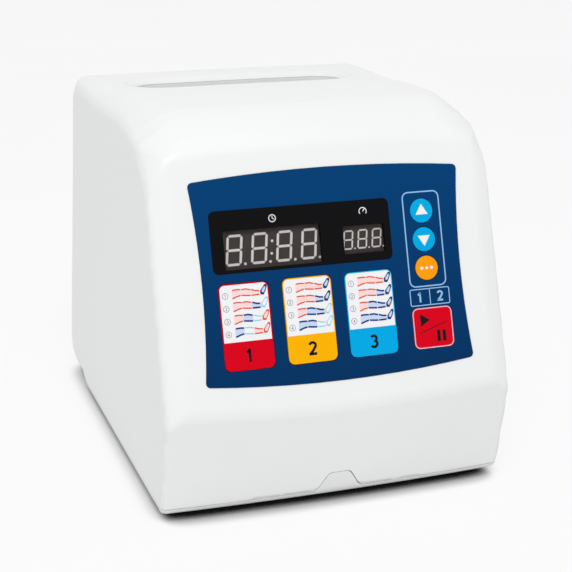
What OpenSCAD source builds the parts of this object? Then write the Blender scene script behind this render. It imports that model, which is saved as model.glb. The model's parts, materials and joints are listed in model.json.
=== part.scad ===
// Table-top air pump for compression sleeves.
// x runs to the right, y to the back and z up. The origin is on the table, under the middle.

/* [Housing] */
// Width of the housing at its foot
body_w = 182.8; // [176:0.1:240]
// Depth from the chin crease to the back
body_d = 266; // [250:1:340]
// Height over the table, feet included
body_h = 197.4; // [186:0.1:240]
// Wall of the moulded shells
wall = 2.8; // [2.2:0.1:3.6]
// Lean of the sides from upright
side_draft = 0.6; // [0:0.1:1.5]
// Lean of the control panel from upright
front_tilt = 16.85; // [8:0.05:24]
// Lean of the back from upright
rear_lean = 13.2; // [4:0.1:18]
// Height of the crease between panel and chin
crease_z = 56; // [46:1:70]
// How far the foot of the chin lies behind the crease
chin_back = 12.8; // [6:0.1:20]
// Length of the panel face from the crease to the shoulder
pad_len = 130; // [126:0.5:134]
// Run of the shoulder from the panel face to the top
shoulder_run = 26; // [22:0.5:34]
// Bulge of the shoulder over the straight line between its ends
shoulder_bulge = 4.8; // [2:0.1:6]
// Radius of the shoulder
shoulder_r = 34; // [20:1:36]
// Drop of the domed top at its front end
top_drop = 0.6; // [0.2:0.1:2]
// Drop of the domed top at its back end
rear_drop = 3.8; // [1:0.1:5]
// Sag of the crowned top at its side edges
top_crown = 1; // [0.5:0.1:3]
// Radius of the edge between top and side
top_edge_r = 8; // [3:0.5:10]
// Depth of the bevel beside the panel face at the side
bevel_depth = 4.6; // [2:0.1:6]
// Half width of the flat panel face
pad_half = 80.5; // [78:0.5:84]
// Radius of the upright back corners
rear_corner_r = 9; // [6:0.5:14]

/* [Seam] */
// Height of the tray lip over the bottom edge
lip_h = 4; // [3.5:0.5:8]
// Rise of the finger tab over the lip
tab_rise = 10; // [6:0.5:14]
// Half width of the finger tab at its foot
tab_half = 13; // [10:0.5:18]
// Width of one curved flank of the tab
tab_flank = 9; // [6:0.5:10]
// Gap between cover and tray
seam_gap = 0.3; // [0.2:0.05:0.5]
// Height of the tray's tongue over the lip
tongue_h = 4.5; // [3:0.5:8]
// Thickness of the tongue
tongue_t = 1.8; // [1.2:0.1:2.5]

/* [Handle] */
// Length of the handle slot
slot_len = 118; // [100:1:130]
// Width of the handle slot
slot_w = 27; // [24:0.5:32]
// Distance of the slot's middle behind the body's middle
slot_y = 42; // [36:1:50]
// Depth of the handle cup
cup_depth = 34; // [26:1:38]
// Wall of the handle cup
cup_wall = 2; // [1.5:0.1:3]

/* [Control panel] */
// Distance of the panel's middle row over the crease, along the face
panel_row = 81.5; // [78:0.5:86]
// Half width of the blue fascia
fascia_half = 69.8; // [68:0.1:74]
// Fascia corners above the middle row
fascia_up = 33; // [32:0.5:36]
// Fascia corners below the middle row
fascia_down = 64; // [62:0.5:68]
// Thickness of the fascia
fascia_t = 1.5; // [1:0.1:2]
// How far the fascia stands proud of the face
fascia_proud = 0.3; // [0.1:0.1:0.5]
// Gap all round each key
key_gap = 0.3; // [0.2:0.05:0.4]
// Key travel
key_travel = 0.5; // [0.3:0.1:0.6]
// Width of a mode key
mode_key_w = 25; // [20:0.5:28]
// Height of a mode key
mode_key_h = 41.7; // [30:0.1:44]
// Spacing of the mode keys
mode_key_pitch = 32.1; // [30:0.1:33]
// Radius of the round keys
round_key_r = 6; // [4.5:0.1:6.5]
// Spacing of the round keys
round_key_pitch = 14.35; // [13.5:0.05:15]
// Width of the start key
start_key_w = 21.4; // [16:0.1:22]
// Height of the start key
start_key_h = 20.4; // [14:0.1:21]

/* [Display] */
// Width of the dark window
window_w = 92.5; // [90:0.5:93]
// Height of the dark window
window_h = 30.5; // [26:0.5:31]
// Width of the time display module
time_w = 50.3; // [46:0.1:51]
// Height of the time display module
time_h = 19; // [16:0.1:20]
// Width of the pressure display module
pressure_w = 22.6; // [20:0.1:23]
// Height of the pressure display module
pressure_h = 14; // [12:0.1:16]

/* [Back] */
// Width of the rear panel
rear_w = 150; // [146:1:154]
// Height of the rear panel
rear_h = 128; // [124:1:132]
// Thickness of the rear panel
rear_t = 1.5; // [1:0.1:2]
// Vent slots in the rear panel
vent_count = 13; // [7:2:15]
// Radius of one air port
port_r = 3; // [2.5:0.1:3.5]
// Spacing of the four ports of a socket
port_pitch = 11; // [10:0.5:12]
// Throw of the power rocker
rocker_throw = 16; // [10:1:20]
// Travel of the fuse drawer
fuse_travel = 18; // [10:1:20]

/* [Feet] */
// Height that the feet lift the housing
foot_h = 3.5; // [2:0.5:6]
// Radius of a foot
foot_r = 8; // [6:0.5:10]

/* [Compressor] */
// Width of the compressor base
comp_w = 118; // [114:1:124]
// Depth of the compressor base
comp_d = 90; // [88:1:98]
// Height of its rubber mounts
mount_h = 12; // [8:1:16]
// Radius of a pump head
head_r = 19; // [16:0.5:20]
// Length of a swing arm from pin to tip
arm_len = 58; // [54:1:60]
// Swing of an arm to each side
arm_swing = 1.5; // [0.5:0.1:2]
// Radius of a pivot pin
pin_r = 2; // [1.5:0.1:2.5]

/* [Hidden] */
$fn = 48;
big = 400;          // reaches past the body in any direction
eps = 0.01;
arc_steps = 6;      // straight steps in one rounded corner

// ---- outlines ----

function unit(v) = v / norm(v);
function left_of(v) = [-v.y, v.x];
function turn(v, a) = [v.x * cos(a) - v.y * sin(a), v.x * sin(a) + v.y * cos(a)];
function dir_in(p, i) = unit(p[i] - p[(i + len(p) - 1) % len(p)]);
function dir_out(p, i) = unit(p[(i + 1) % len(p)] - p[i]);

// The corners of a closed outline, each side moved inward by d; it runs anticlockwise
function inset_outline(p, d) = [
    for (i = [0 : len(p) - 1])
        let (a = dir_in(p, i), b = dir_out(p, i))
            p[i] + d * (left_of(a) + left_of(b)) / (1 + a * b)
];

// One corner turned into an arc of radius r
function corner_arc(p, i, r) =
    let (
        a = dir_in(p, i), b = dir_out(p, i),
        bend = atan2(a.x * b.y - a.y * b.x, a * b),
        start = p[i] - a * r * tan(abs(bend) / 2),
        side = bend > 0 ? 1 : -1,
        centre = start + side * r * left_of(a)
    )
    [for (k = [0 : arc_steps]) centre - side * r * turn(left_of(a), bend * k / arc_steps)];

function rounded_outline(p, r) = [
    for (i = [0 : len(p) - 1])
        each (r[i] > 0 ? corner_arc(p, i, r[i]) : [p[i]])
];

// An outline inset by d, whose corner radii shrink with it
function shaped(p, r, d = 0) =
    rounded_outline(inset_outline(p, d), [for (x = r) x > 0 ? max(x - d, 0.4) : 0]);

function box_outline(w, h) = [[-w / 2, -h / 2], [w / 2, -h / 2], [w / 2, h / 2], [-w / 2, h / 2]];

module round_rect(w, h, r) {
    polygon(rounded_outline(box_outline(w, h), [r, r, r, r]));
}

module round_block(w, h, r, from, to) {
    translate([0, 0, from]) linear_extrude(to - from) round_rect(w, h, r);
}

// A screw along z whose head sits on z = 0 and whose shank points down
module screw(shank_r, length, head_r, head_h) {
    difference() {
        union() {
            cylinder(r = head_r, h = head_h);
            translate([0, 0, -length]) cylinder(r = shank_r, h = length + eps);
        }
        for (a = [0, 90]) rotate(a)
            translate([0, 0, head_h]) cube([head_r * 1.1, 0.6, head_h], center = true);
    }
}

// ---- the body's form ----

front_y = -body_d / 2;
rear_y = body_d / 2;
half_foot = body_w / 2;
half_top = half_foot - body_h * tan(side_draft);
rear_break_z = 26;                      // the back leans above this height
rear_top_z = body_h - rear_drop;
rear_top_y = rear_y - (rear_top_z - rear_break_z) * tan(rear_lean);
pad_top = [front_y + pad_len * sin(front_tilt), crease_z + pad_len * cos(front_tilt)];
top_front = [pad_top.x + shoulder_run, body_h - top_drop];
crest_y = -45;                          // where the domed top is highest
shoulder = (pad_top + top_front) / 2 + shoulder_bulge * left_of(unit(top_front - pad_top));

side_view = [
    [front_y + chin_back, foot_h], [rear_y, foot_h], [rear_y, rear_break_z],
    [rear_top_y, rear_top_z], [crest_y, body_h],
    top_front, shoulder, pad_top, [front_y, crease_z]
];
side_radii = [6, 18, 24, 14, 600, 20, shoulder_r, 8, 7];

crown_steps = 8;
crown_curve = [
    for (k = [1 : crown_steps - 1])
        let (x = half_top * (1 - 2 * k / crown_steps))
            [x, body_h - top_crown * pow(x / half_top, 2)]
];
front_view = concat(
    [[-half_foot, 0], [half_foot, 0], [half_top, body_h - top_crown]],
    crown_curve,
    [[-half_top, body_h - top_crown]]
);
front_radii = concat([0, 0, top_edge_r], [for (p = crown_curve) 0], [top_edge_r]);

chin_slope = atan2(crease_z - foot_h, -chin_back);

// The panel face: x to the right, y up the face, z out of it, zero at the middle row
panel_pos = [
    0, front_y + panel_row * sin(front_tilt), crease_z + panel_row * cos(front_tilt)
];
module on_panel() {
    translate(panel_pos) rotate([90 - front_tilt, 0, 0]) children();
}

// The back: x to the right as seen from behind, y up the face, z out of it
rear_row_z = 98;
rear_pos = [0, rear_y - (rear_row_z - rear_break_z) * tan(rear_lean), rear_row_z];
module on_rear() {
    translate(rear_pos) rotate([90 - rear_lean, 0, 180]) children();
}
// A point of the back's own frame, in the body's frame
function rear_point(u, w, n) = rear_pos + [
    -u,
    -w * sin(rear_lean) + n * cos(rear_lean),
    w * cos(rear_lean) + n * sin(rear_lean)
];
rear_out = [0, cos(rear_lean), sin(rear_lean)];

// What the bevels beside the panel face take away
module side_bevels(inset) {
    reach = half_foot - pad_half;
    slope = bevel_depth / reach;
    shift = inset * (sqrt(1 + slope * slope) - 1) / slope;
    on_panel() for (s = [-1, 1]) scale([s, 1, 1])
        translate([pad_half - inset + shift, 0, -inset])
            rotate([90, 0, 0]) linear_extrude(big, center = true)
                polygon([[0, 0], [40, -40 * slope], [40, 20], [0, 20]]);
}

// What the bow of the chin takes away at its sides
module chin_arch(inset) {
    steps = 8;
    sag = 1.8;              // at the half width of the panel face
    lift = 0.3;             // the arch clears the middle, so that only the sides are cut
    half = half_foot + 6;
    arch = [
        for (k = [0 : steps])
            let (x = half * (1 - 2 * k / steps))
                [x, lift - inset - (sag + lift) * pow(x / pad_half, 2)]
    ];
    translate([0, front_y, crease_z]) rotate([chin_slope + 90, 0, 0])
        linear_extrude(160, center = true) polygon(concat(arch, [[-half, 30], [half, 30]]));
}

// What the rounding of an upright back corner takes away, along the edge of side and back
module rear_corners(inset) {
    r = rear_corner_r - inset;
    for (s = [-1, 1]) scale([s, 1, 1])
        translate([half_foot - rear_break_z * tan(side_draft), rear_y, rear_break_z])
            rotate([rear_lean, -side_draft, 0])
                translate([-inset, -inset, 0]) linear_extrude(big, center = true)
                    polygon(concat(
                        [[-r, 20], [20, 20], [20, -r]],
                        [[0, -r]],
                        [
                            for (k = [1 : arc_steps - 1])
                                let (a = 90 * k / arc_steps) [r * cos(a) - r, r * sin(a) - r]
                        ],
                        [[-r, 0]]
                    ));
}

// The whole outer form, or the same form with every face moved inward
module body_form(inset = 0) {
    difference() {
        intersection() {
            rotate([90, 0, 90]) linear_extrude(big, center = true)
                polygon(shaped(side_view, side_radii, inset));
            rotate([90, 0, 0]) linear_extrude(big, center = true)
                polygon(shaped(front_view, front_radii, inset));
        }
        side_bevels(inset);
        chin_arch(inset);
        rear_corners(inset);
    }
}

// ---- cover and tray ----

seam_z = foot_h + lip_h;
floor_z = foot_h + wall;        // top of the tray's floor

// Height of the parting line over the lip at distance x from the middle
function tab_curve(x) =
    let (t = min(max((tab_half - abs(x)) / tab_flank, 0), 1)) tab_rise * (1 - cos(180 * t)) / 2;

// Everything under the parting line, which runs up round the finger tab in front
module under_seam(rise = 0) {
    steps = 28;
    translate([-big / 2, -big / 2, -10]) cube([big, big, seam_z + rise + 10]);
    translate([0, front_y + 30, 0]) rotate([90, 0, 0]) linear_extrude(60)
        polygon(concat(
            [[-tab_half - 1, -1], [tab_half + 1, -1]],
            [
                for (k = [0 : steps])
                    let (x = (tab_half + 1) * (1 - 2 * k / steps))
                        [x, seam_z + rise + tab_curve(abs(x) - rise)]
            ]
        ));
}

post_r = 4.6;
pilot_r = 1.5;
shank_r = 1.4;
post_x = half_foot - wall - 5.2;
post_ys = [-104, 98];
front_post_top = 42;
rear_post_top = 60;

module at_posts() {
    for (s = [-1, 1], y = post_ys) translate([s * post_x, y, 0]) children();
}

// Screw posts moulded into the side walls of the cover
module cover_posts() {
    for (s = [-1, 1], i = [0, 1]) {
        top = i == 0 ? front_post_top : rear_post_top;
        translate([s * post_x, post_ys[i], 0]) difference() {
            union() {
                translate([0, 0, seam_z + seam_gap])
                    cylinder(r = post_r, h = top - seam_z - seam_gap);
                translate([s > 0 ? 0 : -wall - 4, -1.2, seam_z + seam_gap + tongue_h + 1])
                    cube([wall + 4, 2.4, top - seam_z - tongue_h - 6]);
            }
            translate([0, 0, seam_z - 1]) cylinder(r = pilot_r, h = 26);
        }
    }
}

pad_depth = fascia_t - fascia_proud;    // recess for the fascia
pad_wall = 4;                           // the face is thicker than the other walls
board_n = -13;                          // front of the control board, behind the face
board_t = 1.6;
board_post_u = 68;
board_post_v = [-58, 29];
key_through = 6;

module at_board_posts() {
    for (s = [-1, 1], v = board_post_v) translate([s * board_post_u, v, 0]) children();
}

// A bowed side from a to b as points, bulging by sag to its right
function bowed(a, b, sag, steps = 10) = [
    for (k = [0 : steps - 1])
        let (t = k / steps, side = -left_of(unit(b - a)))
            a + t * (b - a) + side * sag * 4 * t * (1 - t)
];
fascia_top_sag = 3.4;
fascia_low_sag = 4;
fascia_side_sag = -2.8;
fascia_corners = [
    [-fascia_half, -fascia_down], [fascia_half, -fascia_down],
    [fascia_half, fascia_up], [-fascia_half, fascia_up]
];
fascia_outline = concat(
    bowed(fascia_corners[0], fascia_corners[1], fascia_low_sag),
    bowed(fascia_corners[1], fascia_corners[2], fascia_side_sag),
    bowed(fascia_corners[2], fascia_corners[3], fascia_top_sag),
    bowed(fascia_corners[3], fascia_corners[0], fascia_side_sag)
);
fascia_radii = [for (i = [0 : len(fascia_outline) - 1]) i % 10 == 0 ? 2 : 0];

window_c = [-15.05, 3.85];
window_r = 3;
window_ledge = 1.2;
window_opening = [window_w - 2 * window_ledge, window_h - 2 * window_ledge];
zone_c = [49, -31.9];
zone_size = [21.8, 8.8];
mode_key_c = [-15.1, -37];
round_key_c = [48.7, -3.1];
start_key_c = [49.3, -47.4];
key_corner_r = 3;

function mode_key_at(i) = mode_key_c + [(i - 2) * mode_key_pitch, 0];
function round_key_at(i) = round_key_c + [0, (2 - i) * round_key_pitch];

// The outlines of all the keys, each grown by a margin
module key_outlines(grow) {
    for (i = [1 : 3]) translate(mode_key_at(i))
        round_rect(mode_key_w + 2 * grow, mode_key_h + 2 * grow, key_corner_r);
    for (i = [1 : 3]) translate(round_key_at(i)) circle(r = round_key_r + grow);
    translate(start_key_c)
        round_rect(start_key_w + 2 * grow, start_key_h + 2 * grow, key_corner_r);
}

slot_r = slot_w / 2 - 0.5;
module slot_outline(grow = 0) {
    round_rect(slot_len + 2 * grow, slot_w + 2 * grow, slot_r + grow);
}

rear_recess = rear_t - 0.3;     // the rear panel stands a little proud
rear_ledge = 5;
rear_edge_r = 5;
rear_screw_u = rear_w / 2 - rear_ledge + 0.2;
rear_screw_w = rear_h / 2 - 14;

module main_cover() color("white") {
    difference() {
        union() {
            difference() {
                body_form();
                body_form(wall);
                under_seam(seam_gap);
            }
            // thicker face behind the fascia
            intersection() {
                body_form(wall / 2);
                on_panel() round_block(2 * fascia_half + 6, 112, 6, -pad_wall, -wall / 2);
            }
            on_panel() at_board_posts()
                translate([0, 0, board_n]) cylinder(r = 3.4, h = -board_n - wall + 0.5);
            cover_posts();
            // frame behind the edge of the rear opening
            on_rear() difference() {
                round_block(rear_w + 6, rear_h + 6, rear_edge_r, -wall - 2.4, -wall / 2);
                round_block(
                    rear_w - 2 * rear_ledge, rear_h - 2 * rear_ledge, rear_edge_r, -20, 5
                );
            }
        }
        // recess for the fascia, with the openings for window, keys and indicator
        on_panel() {
            translate([0, 0, -pad_depth]) linear_extrude(5)
                polygon(shaped(fascia_outline, fascia_radii, -key_gap));
            translate([0, 0, -pad_wall - 2]) linear_extrude(key_through) key_outlines(key_gap);
            translate(window_c)
                round_block(window_opening.x, window_opening.y, 2, -pad_wall - 2, 1);
            translate(zone_c)
                round_block(zone_size.x - 3, zone_size.y - 3, 1, -pad_wall - 2, 1);
            at_board_posts() translate([0, 0, board_n - 1]) cylinder(r = pilot_r, h = 9);
        }
        // handle slot
        translate([0, slot_y, body_h - 30]) linear_extrude(60) slot_outline();
        // opening and seat for the rear panel
        on_rear() {
            round_block(rear_w + 0.6, rear_h + 0.6, rear_edge_r, -rear_recess, 8);
            round_block(
                rear_w - 2 * rear_ledge, rear_h - 2 * rear_ledge, rear_edge_r, -10, 1
            );
            at_rear_screws() translate([0, 0, -12]) cylinder(r = pilot_r, h = 14);
        }
    }
}

module at_rear_screws() {
    for (su = [-1, 1], sw = [-1, 1])
        translate([su * rear_screw_u, sw * rear_screw_w, 0]) children();
}

foot_x = 66;
foot_ys = [-92, 88];
foot_pocket = 1;

module at_feet() {
    for (s = [-1, 1], y = foot_ys) translate([s * foot_x, y, 0]) children();
}

comp_c = [0, 12];               // middle of the compressor
mount_dx = comp_w / 2 - 9;
mount_dy = comp_d / 2 - 9;
mount_r = 7;
boss_h = 3;

module at_mounts() {
    for (sx = [-1, 1], sy = [-1, 1])
        translate([comp_c.x + sx * mount_dx, comp_c.y + sy * mount_dy, 0]) children();
}

power_c = [0, -78];             // middle of the power board
power_size = [124, 46];
power_lift = 7;                 // its height over the floor
power_post_dx = power_size.x / 2 - 4;
power_post_dy = power_size.y / 2 - 4;

module at_power_posts() {
    for (sx = [-1, 1], sy = [-1, 1])
        translate([power_c.x + sx * power_post_dx, power_c.y + sy * power_post_dy, 0])
            children();
}

module base_tray() color("whitesmoke") {
    head_pocket_r = 3.2;
    difference() {
        union() {
            intersection() {
                difference() {
                    body_form();
                    body_form(wall);
                }
                under_seam();
            }
            // tongue inside the foot of the cover
            intersection() {
                difference() {
                    body_form(wall + seam_gap);
                    body_form(wall + seam_gap + tongue_t);
                }
                translate([-big / 2, -big / 2, floor_z - 1])
                    cube([big, big, lip_h - wall + tongue_h + 1]);
            }
            at_mounts() translate([0, 0, floor_z - eps]) cylinder(r = mount_r + 2, h = boss_h);
            at_power_posts() translate([0, 0, floor_z - eps])
                cylinder(r = 3.2, h = power_lift);
        }
        at_posts() {
            translate([0, 0, -1]) cylinder(r = pilot_r + 0.3, h = 30);
            translate([0, 0, -1]) cylinder(r = head_pocket_r, h = 1 + foot_h + 1.2);
            // the posts of the cover come down through the tongue
            translate([0, 0, seam_z]) cylinder(r = post_r + seam_gap, h = 20);
        }
        at_feet() translate([0, 0, -1]) cylinder(r = foot_r + 0.2, h = foot_h + foot_pocket + 1);
        at_mounts() translate([0, 0, -1]) cylinder(r = pilot_r, h = 30);
        at_power_posts() translate([0, 0, floor_z + 1]) cylinder(r = pilot_r, h = 20);
        // air slots in the floor under the compressor
        for (i = [-4 : 4]) translate([i * 8, comp_c.y, 0])
            round_block(3, 34, 1.4, -1, floor_z + 1);
    }
}

// A cup whose rim follows the crowned top from below
module handle_cup() color("white") {
    cup_floor = body_h - wall - cup_depth;
    rim_w = 5;
    difference() {
        intersection() {
            body_form(wall + seam_gap);
            union() {
                translate([0, slot_y, cup_floor]) linear_extrude(big) slot_outline(cup_wall);
                difference() {
                    translate([0, slot_y, cup_floor + cup_depth / 2]) linear_extrude(big)
                        slot_outline(rim_w);
                    body_form(wall + seam_gap + cup_wall);
                }
            }
        }
        translate([0, slot_y, cup_floor + cup_wall]) linear_extrude(big) slot_outline(0.4);
    }
}

// ---- control panel ----

module fascia() color("#003f77") on_panel() difference() {
    translate([0, 0, -pad_depth]) linear_extrude(fascia_t)
        polygon(shaped(fascia_outline, fascia_radii));
    translate([0, 0, -5]) linear_extrude(10) {
        key_outlines(key_gap);
        translate(window_c) round_rect(window_w, window_h, window_r);
        translate(zone_c) round_rect(zone_size.x, zone_size.y, 1);
    }
}

module display_window() color("#101012", 0.7) on_panel() translate(window_c)
    round_block(window_w - 0.1, window_h - 0.1, window_r, -pad_depth, fascia_proud);

module zone_indicator() color("#0a3f78") on_panel() translate(zone_c) {
    round_block(zone_size.x - 0.1, zone_size.y - 0.1, 1, -pad_depth, fascia_proud);
    for (s = [-1, 1]) translate([s * zone_size.x / 4, 0, board_n])
        cylinder(r = 1.5, h = -board_n - pad_depth + eps);
}

time_c = [-29.85, -0.2];
pressure_c = [17.3, -0.15];
module_h = 11;                  // up to just behind the window
segment_t = 0.4;

// One bar of a figure, pointed at both ends
module bar(length, w) {
    polygon([
        [-length / 2, 0], [-length / 2 + w / 2, -w / 2], [length / 2 - w / 2, -w / 2],
        [length / 2, 0], [length / 2 - w / 2, w / 2], [-length / 2 + w / 2, w / 2]
    ]);
}

// A seven-bar figure of height h that leans to the right
module figure(h) {
    w = h * 0.13;
    half = h / 2 - w / 2;
    span = h * 0.5 - w;
    lean = 0.13;
    multmatrix([[1, lean, 0, 0], [0, 1, 0, 0], [0, 0, 1, 0], [0, 0, 0, 1]]) {
        for (y = [-half, 0, half]) translate([0, y]) bar(span - 0.2, w);
        for (x = [-span / 2 - w / 4, span / 2 + w / 4], y = [-half / 2, half / 2])
            translate([x, y]) rotate(90) bar(half - 0.3, w);
    }
}

module led_module(w, h, digits, pitch, digit_h, shift) {
    translate([0, 0, board_n]) {
        round_block(w, h, 0.4, 0, module_h - segment_t);
        translate([0, 0, module_h - segment_t - eps]) linear_extrude(segment_t)
            for (i = [0 : digits - 1])
                translate([(i - (digits - 1) / 2) * pitch + shift, 0]) figure(digit_h);
    }
}

module time_display() color("#4a4443") on_panel() translate(time_c)
    led_module(time_w, time_h, 4, 12.7, 14.2, -0.2);

module pressure_display() color("#4a4443") on_panel() translate(pressure_c)
    led_module(pressure_w, pressure_h, 3, 7.5, 9.1, -0.4);

flange_gap = 0.3;               // between a key's flange and the back of the face
flange_t = 1;
flange_w = 1.2;
stem_r = 1.7;
switch_top = -7.6;
stem_reach = 2;                 // how far a stem stands in its switch
flange_n = -pad_wall - flange_gap;

// Stem and flange behind a key whose outline is the child
module key_body(stem_at) {
    translate([0, 0, flange_n]) linear_extrude(fascia_proud - flange_n) children(0);
    translate([0, 0, flange_n - flange_t]) linear_extrude(flange_t + eps) children(1);
    translate([stem_at.x, stem_at.y, switch_top - stem_reach])
        cylinder(r = stem_r, h = flange_n - switch_top + stem_reach);
}

mode_stem = [0, -mode_key_h * 0.33];

module mode_key(i) on_panel() translate(mode_key_at(i)) key_body(mode_stem) {
    round_rect(mode_key_w, mode_key_h, key_corner_r);
    round_rect(mode_key_w + 2 * flange_w, mode_key_h + 2 * flange_w, key_corner_r);
}

module round_key(i) on_panel() translate(round_key_at(i)) key_body([0, 0]) {
    circle(r = round_key_r);
    circle(r = round_key_r + 0.8);
}

module mode_key_1() color("#d9001b") mode_key(1);
module mode_key_2() color("#fdb400") mode_key(2);
module mode_key_3() color("#00a9e4") mode_key(3);
module up_key() color("#00aeef") round_key(1);
module down_key() color("#00aeef") round_key(2);
module select_key() color("#ff9e0a") round_key(3);
module start_key() color("#d9001b") on_panel() translate(start_key_c) key_body([0, 0]) {
    round_rect(start_key_w, start_key_h, key_corner_r);
    round_rect(start_key_w + 2 * flange_w, start_key_h + 2 * flange_w, key_corner_r);
}

board_w = 2 * board_post_u + 8;
board_up = board_post_v[1] + 5;
board_down = board_post_v[0] - 5;

module control_board() color("darkgreen") on_panel() difference() {
    translate([0, (board_up + board_down) / 2, 0])
        round_block(board_w, board_up - board_down, 2, board_n - board_t, board_n);
    at_board_posts() translate([0, 0, board_n - 5]) cylinder(r = pilot_r + 0.2, h = 10);
}

module key_switches() color("dimgray") on_panel() {
    size = 7.4;
    for (at = concat(
        [for (i = [1 : 3]) mode_key_at(i) + mode_stem],
        [for (i = [1 : 3]) round_key_at(i)],
        [start_key_c]
    ))
        translate([at.x, at.y, 0]) difference() {
            round_block(size, size, 0.6, board_n, switch_top);
            translate([0, 0, switch_top - stem_reach - key_travel - flange_gap])
                cylinder(r = stem_r + flange_gap, h = 10);
        }
}

module board_screws() color("silver") on_panel() at_board_posts()
    translate([0, 0, board_n - board_t]) rotate([180, 0, 0]) screw(shank_r, 6.5, 2.8, 1.8);

// ---- back ----

socket_w = 4 * port_pitch + 10;
socket_h = 20;
socket_u = 35;
socket_v = 36;
socket_recess = 9;
socket_depth = 20;              // of the whole socket behind the panel
port_len = 8;
cut_gap = 0.25;                 // round a part that is set into the rear panel

inlet_at = [-40, -36];
inlet_body = [28, 36];          // the inlet with the fuse drawer under it
inlet_flange = 2;
inlet_depth = 24;
rocker_at = [40, -36];
rocker_body = [22, 30];
rocker_size = [17.4, 23.4];

module rear_panel() color("whitesmoke") on_rear() difference() {
    round_block(rear_w, rear_h, rear_edge_r, -rear_recess, 0.3);
    for (s = [-1, 1]) translate([s * socket_u, socket_v])
        round_block(socket_w + 2 * cut_gap, socket_h + 2 * cut_gap, 3, -9, 9);
    translate(inlet_at)
        round_block(inlet_body.x + 2 * cut_gap, inlet_body.y + 2 * cut_gap, 2, -9, 9);
    translate(rocker_at)
        round_block(rocker_body.x + 2 * cut_gap, rocker_body.y + 2 * cut_gap, 2, -9, 9);
    for (i = [0 : vent_count - 1])
        translate([(i - (vent_count - 1) / 2) * 8, 6]) round_block(3.2, 22, 1.5, -9, 9);
    at_rear_screws() translate([0, 0, -9]) cylinder(r = pilot_r + 0.2, h = 20);
}

module rear_screws() color("silver") on_rear() at_rear_screws()
    translate([0, 0, 0.3]) screw(shank_r, 4, 2.6, 1.6);

// A four-way air socket: a recess whose floor has four ports, with spigots behind
module hose_socket(s) color("#3a3d42") on_rear() translate([s * socket_u, socket_v, 0]) {
    difference() {
        union() {
            round_block(socket_w, socket_h, 3, -socket_depth, 0.3);
            round_block(socket_w + 6, socket_h + 6, 4, 0.3, 2.3);
            at_ports() translate([0, 0, -socket_depth - 8]) cylinder(r = port_r + 1, h = 9);
        }
        round_block(socket_w - 6, socket_h - 6, 2, -socket_recess + 2.3, 10);
        at_ports() translate([0, 0, -socket_depth - 9]) {
            cylinder(r = port_r - 1, h = 30);
            translate([0, 0, socket_depth + 9 - socket_recess + 2.3 - port_len])
                cylinder(r = port_r, h = 20);
        }
    }
}
module at_ports() {
    for (i = [0 : 3]) translate([(i - 1.5) * port_pitch, 0, 0]) children();
}
module hose_socket_1() hose_socket(-1);
module hose_socket_2() hose_socket(1);

inlet_cavity = [22, 16];
inlet_cavity_depth = 15;
inlet_cavity_at = [0, 7];
fuse_at = [0, -11];
fuse_size = [24, 8];
fuse_len = 22;
fuse_gap = 0.3;

module mains_inlet() color("#202124") on_rear() translate(inlet_at) difference() {
    union() {
        round_block(inlet_body.x, inlet_body.y, 2, -inlet_depth - 4, 0.3);
        round_block(inlet_body.x + 4, inlet_body.y + 4, 3, 0.3, 0.3 + inlet_flange);
    }
    translate(inlet_cavity_at) translate([0, 0, 0.3 + inlet_flange - inlet_cavity_depth])
        linear_extrude(30) polygon(rounded_outline(
            [[-11, -8], [11, -8], [11, 4], [7, 8], [-7, 8], [-11, 4]], [1, 1, 1, 1, 1, 1]
        ));
    translate(fuse_at) round_block(
        fuse_size.x + 2 * fuse_gap, fuse_size.y + 2 * fuse_gap, 1, -fuse_len - fuse_gap, 9
    );
    // holes for the three pins
    translate(inlet_cavity_at) at_pins()
        translate([0, 0, -20]) cube([2.2, 4.2, 60], center = true);
}

module at_pins() {
    for (p = [[-7, -2], [7, -2], [0, 2]]) translate(p) children();
}

module inlet_pins() color("silver") on_rear() translate(inlet_at) translate(inlet_cavity_at)
    at_pins() translate([0, 0, -inlet_depth - 10]) round_block(2, 4, 0.4, 0, inlet_depth + 9);

module fuse_drawer() color("#202124") on_rear() translate(inlet_at) translate(fuse_at)
    difference() {
        union() {
            round_block(fuse_size.x, fuse_size.y, 1, -fuse_len, 3);
            translate([0, -0.5, 3 - eps]) round_block(14, 2, 0.8, 0, 1);
        }
        // trough for the fuse
        translate([-3, 0, -fuse_len + 1.5]) cube([6, 10, fuse_len - 4]);
    }

module rocker_bezel() color("#202124") on_rear() translate(rocker_at) difference() {
    union() {
        round_block(rocker_body.x, rocker_body.y, 2, -20, 0.3);
        round_block(rocker_body.x + 4, rocker_body.y + 4, 3, 0.3, 2.3);
    }
    round_block(rocker_size.x + 1, rocker_size.y + 3.2, 1, -14, 10);
    // the rocker turns on a pin across the bezel
    translate([0, 0, rocker_pin_n]) rotate([0, 90, 0])
        cylinder(r = pin_r + 0.05, h = rocker_body.x - 2, center = true);
}

rocker_pin_n = -5;
rocker_face_n = 3.2;

// A two-faced rocker, drawn with its lower end pressed in, and the pin that it turns on
module power_rocker() color("#202124") on_rear() translate(rocker_at)
    translate([0, 0, rocker_pin_n]) rotate([-rocker_throw / 2, 0, 0]) {
        half = rocker_size.y / 2;
        top = rocker_face_n - rocker_pin_n;
        rotate([90, 0, 90]) linear_extrude(rocker_size.x, center = true) polygon([
            [-half + 2, -4], [half - 2, -4], [half, top + 1.4], [half - 1, top + 1.6],
            [0, top - 1], [-half + 1, top + 1.6], [-half, top + 1.4]
        ]);
        rotate([0, 90, 0]) cylinder(r = pin_r, h = rocker_body.x - 2.6, center = true);
    }

// ---- feet and screws under the tray ----

module feet() color("dimgray") at_feet() {
    cylinder(r1 = foot_r - 1, r2 = foot_r, h = 1);
    translate([0, 0, 1 - eps]) cylinder(r = foot_r, h = foot_h + foot_pocket - 1);
}

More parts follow.
